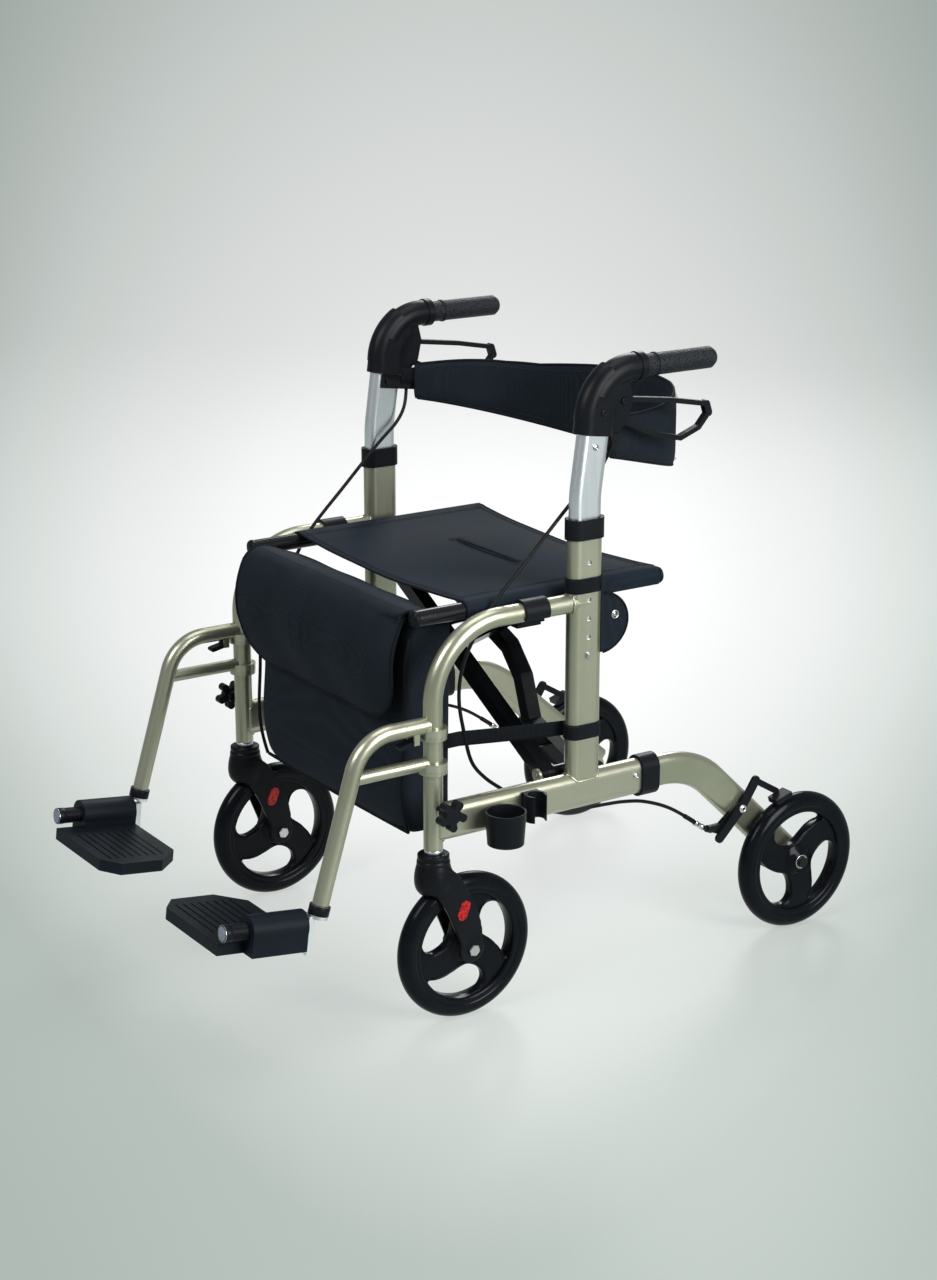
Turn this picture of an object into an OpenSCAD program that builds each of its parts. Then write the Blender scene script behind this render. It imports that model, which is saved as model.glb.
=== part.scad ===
// Rollator transport chair: cross-folding side frames, casters, swing-away footrests, sling seat.
// Drawn with x across, y from the front to the back and z up; the near side is the sitter's left.

/* [Frame] */
// Half the distance between the two side frames, centre to centre
track_half = 252; // [235:1:270]
// Diameter of the round front tube and arch
tube_d = 25.4; // [22:0.1:27]
// Long side of the flat-oval upright and rail
oval_long = 50; // [46:1:54]
// Short side of the flat-oval upright and rail
oval_short = 25; // [22:0.5:27]
// Wall of the flat-oval tubes
oval_wall = 1.6; // [1.2:0.1:2]
// Lower end of the front tube
front_low = 244; // [240:1:250]
// Front tube behind the reference line
front_y = -178; // [-190:1:-170]
// Upright behind the reference line
upright_y = 55; // [45:1:65]
// Top of the upright
upright_top = 640; // [625:1:660]
// Centre of the lower rail
rail_z = 278; // [270:1:286]
// Rear end of the lower rail
rail_end = 152; // [145:1:160]
// Height of the arch's top run
arch_z = 537; // [530:1:545]
// Radius of the arch's bend
arch_r = 100; // [90:1:110]
// Pitch of the height holes
hole_pitch = 25; // [22:1:28]
// Diameter of the height holes
hole_d = 7; // [6:0.5:8]
// Height of the pin that holds the handle tube
pin_z = 466; // [455:1:475]

/* [Rear legs] */
// Radius of the leg's bend
leg_r = 130; // [120:1:140]
// Slope of the leg below its bend
leg_slope = 43; // [40:1:45]
// Inward lean of the leg
leg_lean = 8.5; // [8:0.5:10]
// Start of the leg's bend
leg_bend_y = 190; // [185:1:195]
// Length of the leg's plug inside the rail
leg_plug = 70; // [50:1:90]

/* [Wheels] */
// Diameter of all four wheels
wheel_d = 200; // [190:1:204]
// Width of the tyre
tyre_w = 28; // [24:1:30]
// Depth of the tyre's tread band
tyre_t = 22; // [18:1:24]
// Rear axle behind the reference line
rear_y = 425; // [420:1:432]
// Middle of a rear wheel outside the middle of its side frame
rear_out = 12; // [11:1:18]
// Bare length of the stem between the front tube and the fork
stem_gap = 7; // [6:0.5:9]
// Width of a fork blade at the axle
blade_end = 38; // [35:1:39]
// Distance of the caster's axle behind its stem
trail = 46; // [42:1:48]
// Diameter of the axles
axle_d = 8; // [7:0.5:10]
// Diameter of the hubs
hub_d = 40; // [34:1:44]

/* [Handles] */
// Backward lean of the handle tube above the upright
handle_lean = 7.8; // [6:0.2:9]
// Height at which the handle tube leans
lean_z = 668; // [664:1:674]
// Height of the grips' axis
grip_z = 837; // [830:1:845]
// Diameter of the grip
grip_d = 29; // [27:1:32]
// Length of the grip
grip_len = 117; // [105:1:125]
// Front end of the grip
grip_y = 141; // [138:1:146]
// Diameter of the elbow's arm
elbow_d = 36; // [34:1:38]
// Diameter of the spigot inside the grip
spigot_d = 22; // [20:0.5:24]
// Thickness of the brake lever
lever_t = 9; // [7:0.5:10]

/* [Cross brace] */
// Side of the square brace tubes
bar = 20; // [18:1:20]
// Lower pivot inside the middle of its side frame
pivot_in = 24; // [23:0.5:26]
// Height of the lower pivots
pivot_z = 300; // [297:1:303]
// Seat tube inside the middle of its side frame
seat_in = 40; // [39:1:44]
// Height of the seat tubes
seat_z = 540; // [538:1:542]
// Diameter of the seat tubes
seat_d = 22; // [20:0.5:23]
// Front end of the seat tubes
seat_front = -178; // [-185:1:-170]
// Back end of the seat tubes
seat_back = 205; // [200:1:208]
// Middle of the brace, front to back
brace_y = 25; // [23:1:27]
// Gap between the two crossing bars
bar_gap = 2; // [1.5:0.5:3]

/* [Footrests] */
// Diameter of the hanger tube
hanger_d = 22; // [20:0.5:24]
// Height of the hanger's top run
hanger_z = 412; // [408:1:416]
// Radius of the hanger's bend
hanger_r = 58; // [50:1:64]
// Forward slope of the hanger's leg from upright
hanger_slope = 17; // [14:1:19]
// Lower end of the hanger's leg
hanger_low = 203; // [198:1:208]
// Height of the lower collar
brace_z = 361; // [355:1:366]
// Length of the plate, front to back
plate_len = 115; // [108:1:120]
// Width of the plate
plate_w = 172; // [160:1:176]
// Thickness of the plate
plate_t = 16; // [13:1:17]
// Height of the plate's axle at its back end
plate_axle_z = 180; // [177:1:184]
// Upward tilt of the plate towards the front
toe = 7; // [4:1:9]
// Diameter of the plate's axle
plate_axle_d = 18; // [16:0.5:20]

/* [Soft parts] */
// Front edge of the seat sling
sling_front = -107; // [-112:1:-100]
// Back edge of the seat sling
sling_back = 202; // [190:1:203]
// Thickness of the sling
sling_t = 2.2; // [1.8:0.1:2.4]
// Side of the bag inside the middle of the seat tube
bag_in = 16; // [14:1:30]
// Bottom of the bag
bag_low = 236; // [225:1:245]
// Depth behind the ends of the backrest band
back_depth = 195; // [180:1:205]
// Thickness of the backrest band
back_t = 9; // [7:0.5:10]

/* [Hidden] */
$fn = 48;
CLEAR = 0.3;
RUN = 0.05;
EPS = 0.01;
inner_short = oval_short - 2 * oval_wall - 2 * CLEAR;
inner_long = oval_long - 2 * oval_wall - 2 * CLEAR;
wheel_r = wheel_d / 2;
caster_y = front_y + trail;
post_bore = tube_d - 3.4;
stem_d = post_bore - 2 * CLEAR;
collar_grow = 3;
leg_drop = rail_z - wheel_r;
leg_end_x = track_half - leg_drop * tan(leg_lean);
bar_off = bar / 2 + bar_gap / 2;
bar_out = bar_off + bar + bar_gap + 4;
rear_x = track_half + rear_out;
pivot_x = track_half - pivot_in;
seat_x = track_half - seat_in;
bag_half = seat_x - bag_in;
cross_rise = (seat_z - pivot_z) * pivot_x / (pivot_x + seat_x);
cross_z = pivot_z + cross_rise;
sleeve_d = 18;
rod_d = 8;
lug_t = 4;
pad_gap = 2.6;
plate_axle_x = track_half - 10;
hanger_bend_y = front_y - 62;
hanger_leg = (hanger_z - hanger_r + hanger_r * sin(hanger_slope) - hanger_low) / cos(hanger_slope);
hanger_foot_y = hanger_bend_y - hanger_r * cos(hanger_slope)
  - (hanger_z - hanger_r + hanger_r * sin(hanger_slope) - hanger_low) * tan(hanger_slope);
latch_w = 12;
latch_pin = 4;
latch_y = front_y - 29;
latch_z = hanger_z - hanger_d / 2 - 6;
plate_back = hanger_foot_y - 21;
plate_front = plate_back - plate_len;
plate_drop = 15;
cup_d = 54;
cup_wall = 2.5;
cup_gap = 2;
knob_r = 21;
knob_reach = 36;
rear_reach = rear_y + wheel_r;
near_reach = track_half + oval_short / 2 + cup_gap + cup_d;
far_reach = track_half + tube_d / 2 + knob_reach;
mid_x = (near_reach - far_reach) / 2;
toe_reach = plate_back - plate_len * cos(toe) - (plate_drop + plate_t) * sin(toe);
mid_y = (rear_reach + toe_reach) / 2;
tube_top = grip_z - 47;
elbow_low = grip_z - 80;
elbow_r = 64;
elbow_y = grip_y - 16;
lever_y = elbow_y - 18;
lever_z = grip_z - 41;
arm_y = 328;
arm_z = 195;

gold = "#a8a88c";
black = "#15171a";
silver = "#c9ced6";
cloth = "#20262e";

// Move to the reference point under the middle of the part
module placed() {
  translate([-mid_x, -mid_y, 0]) children();
}

// One side's piece: 1 is the near (left) side, -1 the far (right) side
module side(s) {
  placed() mirror([s < 0 ? 1 : 0, 0, 0]) children();
}

// Flat-oval outline with its long side along the second axis
module oval2(long, short) {
  square([short, long - short], center = true);
  for (k = [-1, 1]) translate([0, k * (long - short) / 2]) circle(d = short);
}

module bar_y(d, y0, y1, x, z) {
  translate([x, y0, z]) rotate([-90, 0, 0]) cylinder(d = d, h = y1 - y0);
}

module bar_x(d, x0, x1, y, z) {
  translate([x0, y, z]) rotate([0, 90, 0]) cylinder(d = d, h = x1 - x0);
}

// Outline drawn as (y, z) and extruded across x
module across(x0, x1) {
  translate([x0, 0, 0]) rotate([90, 0, 90]) linear_extrude(x1 - x0) children();
}

// Outline drawn as (x, z) and extruded along y
module along(y0, y1) {
  translate([0, y1, 0]) rotate([90, 0, 0]) linear_extrude(y1 - y0) children();
}

// Flat bar with round ends from point p to point q
module strip(p, q, w) {
  d = q - p;
  turn = atan2(d[1], d[0]);
  round_end = function (c, from)
    [for (k = [0 : 8]) c + w / 2 * [cos(from + 22.5 * k), sin(from + 22.5 * k)]];
  polygon(concat(round_end(q, turn - 90), round_end(p, turn + 90)));
}

// Side frame: front tube with its arch, upright and lower rail, welded
module frame_outer() {
  translate([track_half, front_y, front_low]) cylinder(d = tube_d, h = arch_z - arch_r - front_low);
  translate([track_half, front_y + arch_r, arch_z - arch_r])
    rotate([90, 0, 90]) rotate_extrude(angle = 90, start = 90) translate([arch_r, 0]) circle(d = tube_d);
  bar_y(tube_d, front_y + arch_r, upright_y, track_half, arch_z);
  translate([track_half, upright_y, rail_z]) linear_extrude(upright_top - rail_z)
    oval2(oval_long, oval_short);
  translate([track_half, front_y, rail_z]) rotate([-90, 0, 0])
    linear_extrude(rail_end - front_y) oval2(oval_long, oval_short + 1);
  for (z = [hanger_z - 10, brace_z - 5]) translate([track_half, front_y, z - 9])
    cylinder(d = tube_d + 11, h = 5);
}

module hinge_lugs(s) {
  lo = s > 0 ? brace_y - bar_off - bar / 2 - 1 : 2 * brace_y - (brace_y + bar_out + bar / 2 + 1);
  hi = s > 0 ? brace_y + bar_out + bar / 2 + 1 : 2 * brace_y - (brace_y - bar_off - bar / 2 - 1);
  for (y = [lo - lug_t - CLEAR, hi + CLEAR]) along(y, y + lug_t) {
    translate([pivot_x, pivot_z]) circle(d = sleeve_d);
    polygon([[pivot_x - 6, pivot_z - 7], [track_half, rail_z - 6], [track_half, rail_z + 12],
      [pivot_x, pivot_z + sleeve_d / 2]]);
  }
  bar_y(rod_d, lo - lug_t - 2, hi + lug_t + 2, pivot_x, pivot_z);
}

module side_frame(s) {
  color(gold) side(s) difference() {
    union() {
      frame_outer();
      hinge_lugs(s);
    }
    translate([track_half, front_y, front_low - 1]) cylinder(d = post_bore, h = 60);
    translate([track_half, upright_y, rail_z + 40]) linear_extrude(upright_top)
      oval2(oval_long - 2 * oval_wall, oval_short - 2 * oval_wall);
    translate([track_half, rail_end - leg_plug - 2, rail_z]) rotate([-90, 0, 0])
      linear_extrude(leg_plug + 3)
      oval2(oval_long - 2 * oval_wall, oval_short - 2 * oval_wall);
    for (k = [0 : 5])
      bar_x(hole_d, track_half + inner_short / 2 - 1, track_half + oval_short, upright_y,
        pin_z + k * hole_pitch);
    bar_x(knob_r / 3, track_half, track_half + tube_d, front_y, rail_z + 24);
  }
}

// Rear leg: plug in the rail, bend and sloping run, leaning inwards, with the axle boss
module rear_leg(s) {
  run = (rear_y - leg_bend_y - leg_r * sin(leg_slope)) / cos(leg_slope) + 14;
  color(gold) side(s) difference() {
    union() {
      translate([track_half, rail_end - leg_plug, rail_z]) rotate([-90, 0, 0])
        linear_extrude(leg_plug + 14) oval2(inner_long, inner_short);
      translate([track_half, 0, rail_z]) rotate([0, leg_lean, 0]) {
        translate([0, rail_end + 4, 0]) rotate([-90, 0, 0])
          linear_extrude(leg_bend_y - rail_end - 4) oval2(inner_long, inner_short);
        translate([0, leg_bend_y, -leg_r]) rotate([90, 0, 90])
          rotate_extrude(angle = leg_slope, start = 90 - leg_slope)
            translate([leg_r, 0]) rotate(90) oval2(inner_long, inner_short);
        translate([0, leg_bend_y, -leg_r]) rotate([-leg_slope, 0, 0]) translate([0, 0, leg_r])
          rotate([-90, 0, 0]) linear_extrude(run) oval2(inner_long, inner_short);
      }
      bar_x(26, leg_end_x - 16, rear_x - tyre_w / 2 - 2, rear_y, wheel_r);
    }
    bar_x(axle_d + 2 * RUN, leg_end_x - 40, rear_x, rear_y, wheel_r);
  }
}

// Moulded collars at the ends of the upright and of the rail
module collars(s) {
  color(black) side(s) {
    translate([track_half, upright_y, upright_top - 18]) difference() {
      linear_extrude(27) oval2(oval_long + 2 * collar_grow, oval_short + 2 * collar_grow);
      translate([0, 0, -1]) linear_extrude(19) oval2(oval_long + EPS, oval_short + EPS);
      translate([0, 0, 10]) linear_extrude(30) oval2(inner_long + 2 * CLEAR, inner_short + 2 * CLEAR);
    }
    difference() {
      translate([track_half, rail_end - 6, rail_z]) rotate([-90, 0, 0])
        linear_extrude(28) oval2(oval_long + 2 * collar_grow + 2, oval_short + 2 * collar_grow + 4);
      translate([track_half, 0, rail_z]) rotate([-90, 0, 0])
        linear_extrude(rail_end + EPS) oval2(oval_long + EPS, oval_short + 1 + EPS);
      translate([track_half, 0, rail_z]) rotate([-90, 0, 0])
        linear_extrude(rail_end + 14 + CLEAR) oval2(inner_long + 2 * CLEAR, inner_short + 2 * CLEAR);
      translate([track_half, 0, rail_z]) rotate([0, leg_lean, 0]) rotate([-90, 0, 0])
        linear_extrude(rail_end + 40) oval2(inner_long + 2 * CLEAR, inner_short + 2 * CLEAR);
    }
  }
}

// Handle tube: straight in the upright, leaning back above it
tube_low = pin_z + 14;
lean_r = 150;
lean_mid = lean_z + lean_r * tan(handle_lean / 2);
module leaned() {
  translate([track_half, upright_y, lean_mid]) rotate([-handle_lean, 0, 0]) children();
}

module handle_run(long, short, grow) {
  translate([track_half, upright_y, tube_low]) linear_extrude(lean_z - tube_low) oval2(long, short);
  translate([track_half, upright_y + lean_r, lean_z]) rotate([90, 0, 90])
    rotate_extrude(angle = handle_lean, start = 180 - handle_lean) translate([lean_r, 0]) rotate(90)
      oval2(long, short);
  leaned() translate([0, 0, lean_mid - lean_z]) linear_extrude(tube_top - 2 * lean_mid + lean_z + grow)
    oval2(long, short);
}

module handle_tube(s) {
  color(silver) side(s) difference() {
    handle_run(inner_long, inner_short, 0);
    translate([track_half, upright_y, tube_low - 1]) linear_extrude(lean_z - tube_low - 20)
      oval2(inner_long - 3, inner_short - 3);
  }
}

// Elbow: socket on the tube, bend, ring and spigot, with the lever's two cheeks
module elbow_body() {
  leaned() translate([0, 0, elbow_low - lean_mid]) linear_extrude(30) oval2(oval_long + 6, oval_short + 8);
  translate([track_half, elbow_y, grip_z - elbow_r]) rotate([90, 0, 90]) {
    rotate_extrude(angle = 58, start = 120) translate([elbow_r - 6, 0]) rotate(90)
      oval2(oval_long + 6, oval_short + 8);
    rotate_extrude(angle = 60, start = 90) translate([elbow_r, 0]) circle(d = elbow_d);
  }
  bar_y(elbow_d, elbow_y, grip_y - 10, track_half, grip_z);
  bar_y(elbow_d + 3, grip_y - 10, grip_y - CLEAR, track_half, grip_z);
  across(track_half - 10, track_half + 10)
    translate([elbow_y, grip_z])
      polygon([[-49, -79], [-25, -80], [-9, -65], [-3, -37], [-9, -13], [-45, -13]]);
  bar_y(spigot_d, grip_y - 10, grip_y + grip_len - 8, track_half, grip_z);
}

module elbow(s) {
  color(black) side(s) {
    difference() {
      elbow_body();
      handle_run(inner_long + 2 * EPS, inner_short + 2 * EPS, EPS);
      across(track_half - lever_t / 2 - CLEAR, track_half + lever_t / 2 + CLEAR)
        translate([lever_y - 13, lever_z - 56]) square([46, 77]);
    }
    bar_x(5, track_half - 9, track_half + 9, lever_y, lever_z);
  }
}

module grip(s) {
  color("#2a2d31") side(s) difference() {
    union() {
      bar_y(grip_d, grip_y, grip_y + grip_len - 6, track_half, grip_z);
      translate([track_half, grip_y + grip_len - 6, grip_z]) rotate([-90, 0, 0])
        cylinder(d1 = grip_d, d2 = grip_d - 8, h = 6);
      bar_y(grip_d + 2.5, grip_y + 20, grip_y + 23, track_half, grip_z);
    }
    bar_y(spigot_d + 2 * RUN, grip_y - 1, grip_y + grip_len - 7, track_half, grip_z);
  }
}

// Brake lever: a closed loop on its pivot pin
module brake_lever(s) {
  shape = [[6, 1], [83, -9], [141, -20], [145, -32], [129, -50], [99, -61], [53, -50], [6, -28]];
  loop = [for (p = shape) p + [lever_y, lever_z]];
  color(black) side(s) difference() {
    across(track_half - lever_t / 2, track_half + lever_t / 2) {
      for (k = [0 : len(loop) - 2]) strip(loop[k], loop[k + 1], k == 2 ? 10 : 6.5);
      strip(loop[7], loop[0], 11);
      translate([lever_y, lever_z]) circle(d = 13);
    }
    bar_x(5 + 4 * RUN, track_half - 20, track_half + 20, lever_y, lever_z);
  }
}

// Brake at the rear wheel: bracket on the leg, and the arm with its pad
module brake_bracket(s) {
  x1 = rear_x - tyre_w / 2;
  color(black) side(s) difference() {
    union() {
      across(x1 - 1, x1 + 5) {
        strip([arm_y - 30, arm_z - 24], [arm_y + 2, arm_z], 16);
        strip([arm_y - 52, arm_z - 22], [arm_y - 24, arm_z - 22], 9);
      }
      bar_x(5, x1 - 1, x1 + 13, arm_y, arm_z);
      bar_x(10, x1 + 11, x1 + 14, arm_y, arm_z);
      translate([x1 + 1.5, arm_y - 62, arm_z - 18]) rotate([-114, 0, 0]) cylinder(d = 7, h = 30);
      translate([x1 + 1.5, arm_y - 56, arm_z - 20.8]) rotate([-114, 0, 0]) cylinder(d = 10, h = 9);
    }
    translate([track_half, 0, rail_z]) rotate([0, leg_lean, 0]) translate([0, leg_bend_y, -leg_r])
      rotate([-leg_slope, 0, 0]) translate([0, 0, leg_r]) rotate([-90, 0, 0])
        linear_extrude(400, center = true) oval2(inner_long + EPS, inner_short + EPS);
  }
}

module brake_arm(s) {
  x1 = rear_x - tyre_w / 2;
  pad = wheel_r + pad_gap;
  color(black) side(s) difference() {
    union() {
      across(x1 + 6, x1 + 10) {
        strip([arm_y - 37, arm_z - 37], [arm_y, arm_z], 14);
        strip([arm_y, arm_z], [arm_y + 24, arm_z + 36], 14);
        strip([arm_y + 24, arm_z + 36], [arm_y + 62, arm_z + 13], 9);
      }
      across(x1 + 6, rear_x + tyre_w / 2 - 2)
        translate([rear_y, wheel_r]) rotate(108) translate([pad, -14]) square([8, 28]);
    }
    bar_x(5 + 4 * RUN, x1 - 20, x1 + 40, arm_y, arm_z);
  }
}

// Brake cable along its route, as one swept tube of eight sides
cable_d = 5;
near_route = [[249, 97, 756.7], [248.8, 97.5, 747], [247.5, 99, 736], [239, 90, 708], [232.5, 72, 686],
  [232.5, 40, 658], [232.5, -18, 602], [232.5, -70, 551], [231, -100, 510], [229, -118, 470],
  [227, -122, 427], [227, -114, 380], [226, -102, 339], [224, -80, 312], [225, -50, 288],
  [231, -22, 266], [242, 12, 251], [249, 45, 248], [251.5, 90, 247],
  [251.5, 128, 244], [251.5, 165, 236], [251.5, 210, 216], [251.5, 265.6, 177.3]];
function unit(v) = v / norm(v);
function tangent(p, i) = unit(p[min(i + 1, len(p) - 1)] - p[max(i - 1, 0)]);
function ring(p, i, r) = let(t = tangent(p, i), a = unit(cross(t, [1, 0.2, 0.1])), b = cross(t, a))
  [for (k = [0 : 7]) p[i] + r * (a * cos(45 * k) + b * sin(45 * k))];
function spline(p, i, t) = let(a = p[max(i - 1, 0)], b = p[i], c = p[i + 1], d = p[min(i + 2, len(p) - 1)])
  0.5 * (2 * b + (c - a) * t + (2 * a - 5 * b + 4 * c - d) * t * t + (3 * b - 3 * c + d - a) * t * t * t);
module swept(route, d, steps) {
  n = len(route) - 1;
  path = [for (i = [0 : n - 1]) for (k = [0 : steps - 1]) spline(route, i, k / steps), route[n]];
  last = len(path) - 1;
  points = [for (i = [0 : last]) each ring(path, i, d / 2)];
  walls = [for (i = [0 : last - 1]) for (k = [0 : 7]) let(a = 8 * i + k, b = 8 * i + (k + 1) % 8)
    each [[a, b, b + 8], [a, b + 8, a + 8]]];
  caps = [for (k = [1 : 6]) each [[0, k + 1, k], [8 * last, 8 * last + k, 8 * last + k + 1]]];
  polyhedron(points, concat(walls, caps), convexity = 10);
}

module brake_cable(s) {
  color("#0c0d0f") side(s) swept(near_route, cable_d, 3);
}

// Caster fork: stem in the front tube, bell-shaped head and two swept blades
module fork_blade2() {
  front = [[front_y - 19, 214], [front_y - 20, 198], [front_y - 9, 182], [front_y + 9, 158],
    [caster_y - 25, 130], [caster_y - 16, wheel_r + 7]];
  rear = [[caster_y + 16, wheel_r + 7], [caster_y + 15, 130], [caster_y + 7, 158], [caster_y - 7, 186],
    [caster_y - 18, 208], [front_y + 20, 216]];
  edge = function (p) [for (i = [0 : len(p) - 2]) for (k = [0 : 3]) spline(p, i, k / 4), p[len(p) - 1]];
  polygon(concat(edge(front), edge(rear)));
  translate([caster_y, wheel_r]) circle(d = blade_end);
}

module fork_head() {
  top = front_low - stem_gap;
  translate([track_half, front_y, top]) rotate_extrude()
    polygon([[0, 0], [19, 0], [21, -2], [21, -7], [24, -9], [29, -15], [32, -23], [33, -31], [32, -40],
      [29, -48], [24, -55], [0, -60]]);
}

// Place of a reflector on the outer face of a blade, on either side of the wheel
module at_reflector(k, depth) {
  half = tyre_w / 2 + 9;
  translate([track_half + k * (half - depth), caster_y - 14, 158]) rotate([0, 90 * k, 0]) rotate(k * 68)
    children();
}

module caster_fork(s) {
  half = tyre_w / 2 + 3;
  top = front_low - stem_gap;
  color(black) side(s) difference() {
    union() {
      across(track_half - half - 6, track_half + half + 6) fork_blade2();
      fork_head();
      translate([track_half, front_y, top - 8]) cylinder(d = 18, h = stem_gap + 8 - CLEAR);
      translate([track_half, front_y, top - 8]) cylinder(d = stem_d, h = stem_gap + 58);
    }
    across(track_half - half, track_half + half) {
      translate([caster_y, wheel_r]) circle(r = wheel_r + 5);
      translate([caster_y - 60, 0]) square([160, wheel_r]);
    }
    bar_x(axle_d + 2 * RUN, track_half - 60, track_half + 60, caster_y, wheel_r);
    for (k = [-1, 1]) at_reflector(k, 1.5) linear_extrude(4) oval2(28, 15);
  }
}

module reflector(s) {
  color("#c01018") side(s) for (k = [-1, 1]) at_reflector(k, 1.5)
    linear_extrude(2.2) oval2(28 - 2 * CLEAR, 15 - 2 * CLEAR);
}

module front_axle(s) {
  half = tyre_w / 2 + 9;
  color(silver) side(s) {
    bar_x(axle_d, track_half - half - 1, track_half + half + 1, caster_y, wheel_r);
    bar_x(14, track_half + half + EPS, track_half + half + 5, caster_y, wheel_r);
    bar_x(14, track_half - half - 5, track_half - half - EPS, caster_y, wheel_r);
  }
}

// Comma-shaped opening between two swirl spokes
module spoke_opening(r_in, r_out) {
  steps = 12;
  outer = [for (k = [0 : steps]) let(a = 84 * k / steps) r_out * [cos(a), sin(a)]];
  inner = [for (k = [1 : steps])
    let(t = k / steps, a = 84 - 70 * t, r = r_out - (r_out - r_in) * sin(90 * t))
    r * [cos(a), sin(a)]];
  back = [for (k = [1 : 5]) let(t = k / 6, m = (r_in + r_out) / 2, w = (r_out - r_in) / 2, a = 14 - 14 * t)
    (m - w * cos(180 * t)) * [cos(a - 12 * sin(180 * t)), sin(a - 12 * sin(180 * t))]];
  polygon(concat(outer, inner, back));
}

module wheel_solid(x, y, turn) {
  rim = wheel_r - tyre_t;
  translate([x, y, wheel_r]) rotate([0, 90, 0]) difference() {
    union() {
      rotate_extrude($fn = 96) {
        translate([wheel_r - tyre_w / 2, 0]) circle(d = tyre_w);
        translate([rim - 6, -tyre_w / 2 + 2]) square([tyre_t - tyre_w / 2 + 6, tyre_w - 4]);
        translate([0, -tyre_w / 2 - 1]) square([hub_d / 2, tyre_w + 2]);
      }
      translate([0, 0, -5]) linear_extrude(10) difference() {
        circle(r = rim - 1);
        for (k = [0 : 2]) rotate(turn + 120 * k) spoke_opening(hub_d / 2 + 9, rim - 7);
      }
      for (k = [0 : 2]) rotate(turn + 120 * k + 102) translate([hub_d / 2 - 4, -4, -8])
        cube([rim - hub_d / 2, 8, 16]);
    }
    translate([0, 0, -50]) cylinder(d = axle_d + 2 * RUN, h = 100);
    for (k = [-1, 1]) translate([0, 0, k * (tyre_w / 2 + 1)])
      rotate_extrude() translate([11, -1.5]) square([3, 3]);
    for (k = [-1, 1]) rotate_extrude($fn = 96) translate([rim + 2, k * (tyre_w / 2 - 1.6)])
      circle(d = 3.4, $fn = 16);
  }
}

module front_wheel(s) {
  color(black) side(s) wheel_solid(track_half, caster_y, 35);
}

module rear_wheel(s) {
  color(black) side(s) wheel_solid(rear_x, rear_y, 10);
}

module rear_axle(s) {
  face = rear_x + tyre_w / 2 + 1;
  color(silver) side(s) {
    bar_x(axle_d, leg_end_x - 18, face + 2, rear_y, wheel_r);
    bar_x(15, face + CLEAR, face + 5, rear_y, wheel_r);
    bar_x(15, leg_end_x - 22, leg_end_x - 16 - EPS, rear_y, wheel_r);
  }
}

// Footrest hanger: top run, bend, sloping leg, brace and two collars round the front tube
module footrest_hanger(s) {
  color(gold) side(s) difference() {
    union() {
      bar_y(hanger_d, hanger_bend_y, front_y - 8, track_half, hanger_z);
      translate([track_half, hanger_bend_y, hanger_z - hanger_r]) rotate([90, 0, 90])
        rotate_extrude(angle = 92 - hanger_slope, start = 89)
          translate([hanger_r, 0]) circle(d = hanger_d + 0.1);
      translate([track_half, hanger_bend_y - hanger_r * cos(hanger_slope),
        hanger_z - hanger_r + hanger_r * sin(hanger_slope)]) rotate([180 - hanger_slope, 0, 0])
        cylinder(d = hanger_d, h = hanger_leg);
      bar_y(hanger_d - 5, hanger_bend_y - hanger_r * cos(hanger_slope) + 2, front_y - 10,
        track_half, brace_z);
      for (z = [hanger_z - 10, brace_z - 5]) translate([track_half, front_y, z - 4 + CLEAR])
        cylinder(d = tube_d + 12, h = 10);
      for (x = [track_half - latch_w / 2 - 2.5 - CLEAR, track_half + latch_w / 2 + CLEAR])
        translate([x, latch_y - 4, latch_z - 4]) cube([2.5, 8, hanger_z - latch_z]);
      bar_x(latch_pin, track_half - latch_w / 2 - 2, track_half + latch_w / 2 + 2, latch_y, latch_z);
    }
    translate([track_half, front_y, 300]) cylinder(d = tube_d + 2 * CLEAR, h = 200);
  }
}

// Swing latch: a thumb lever on its pin under the hanger's top run
module footrest_latch(s) {
  color(black) side(s) difference() {
    across(track_half - latch_w / 2, track_half + latch_w / 2) {
      translate([latch_y, latch_z]) circle(d = 9);
      strip([latch_y, latch_z - 1], [latch_y - 20, latch_z - 5], 6);
    }
    bar_x(latch_pin + 2 * RUN, track_half - 20, track_half + 20, latch_y, latch_z);
  }
}

// Turned up towards the front about the axle's back end
module toed() {
  translate([0, plate_back, plate_axle_z]) rotate([-toe, 0, 0])
    translate([0, -plate_back, -plate_axle_z]) children();
}

// Sleeve and link plate at the hanger's foot, with the plate's axle
module footrest_axle(s) {
  color(silver) side(s) difference() {
    union() {
      translate([track_half, hanger_foot_y, hanger_low]) rotate([180 - hanger_slope, 0, 0])
        translate([0, 0, -2]) cylinder(d = hanger_d + 5, h = 17);
      toed() {
        translate([plate_axle_x - 17, plate_back, plate_axle_z - 36]) cube([34, 8, 50]);
        bar_y(plate_axle_d, plate_front + 8, plate_back + 5, plate_axle_x, plate_axle_z);
        bar_y(plate_axle_d + 4, plate_front + 2, plate_front + 12, plate_axle_x, plate_axle_z);
      }
    }
    translate([track_half, hanger_foot_y, hanger_low]) rotate([-hanger_slope, 0, 0])
      cylinder(d = hanger_d + 2 * EPS, h = 60);
  }
}

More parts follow.
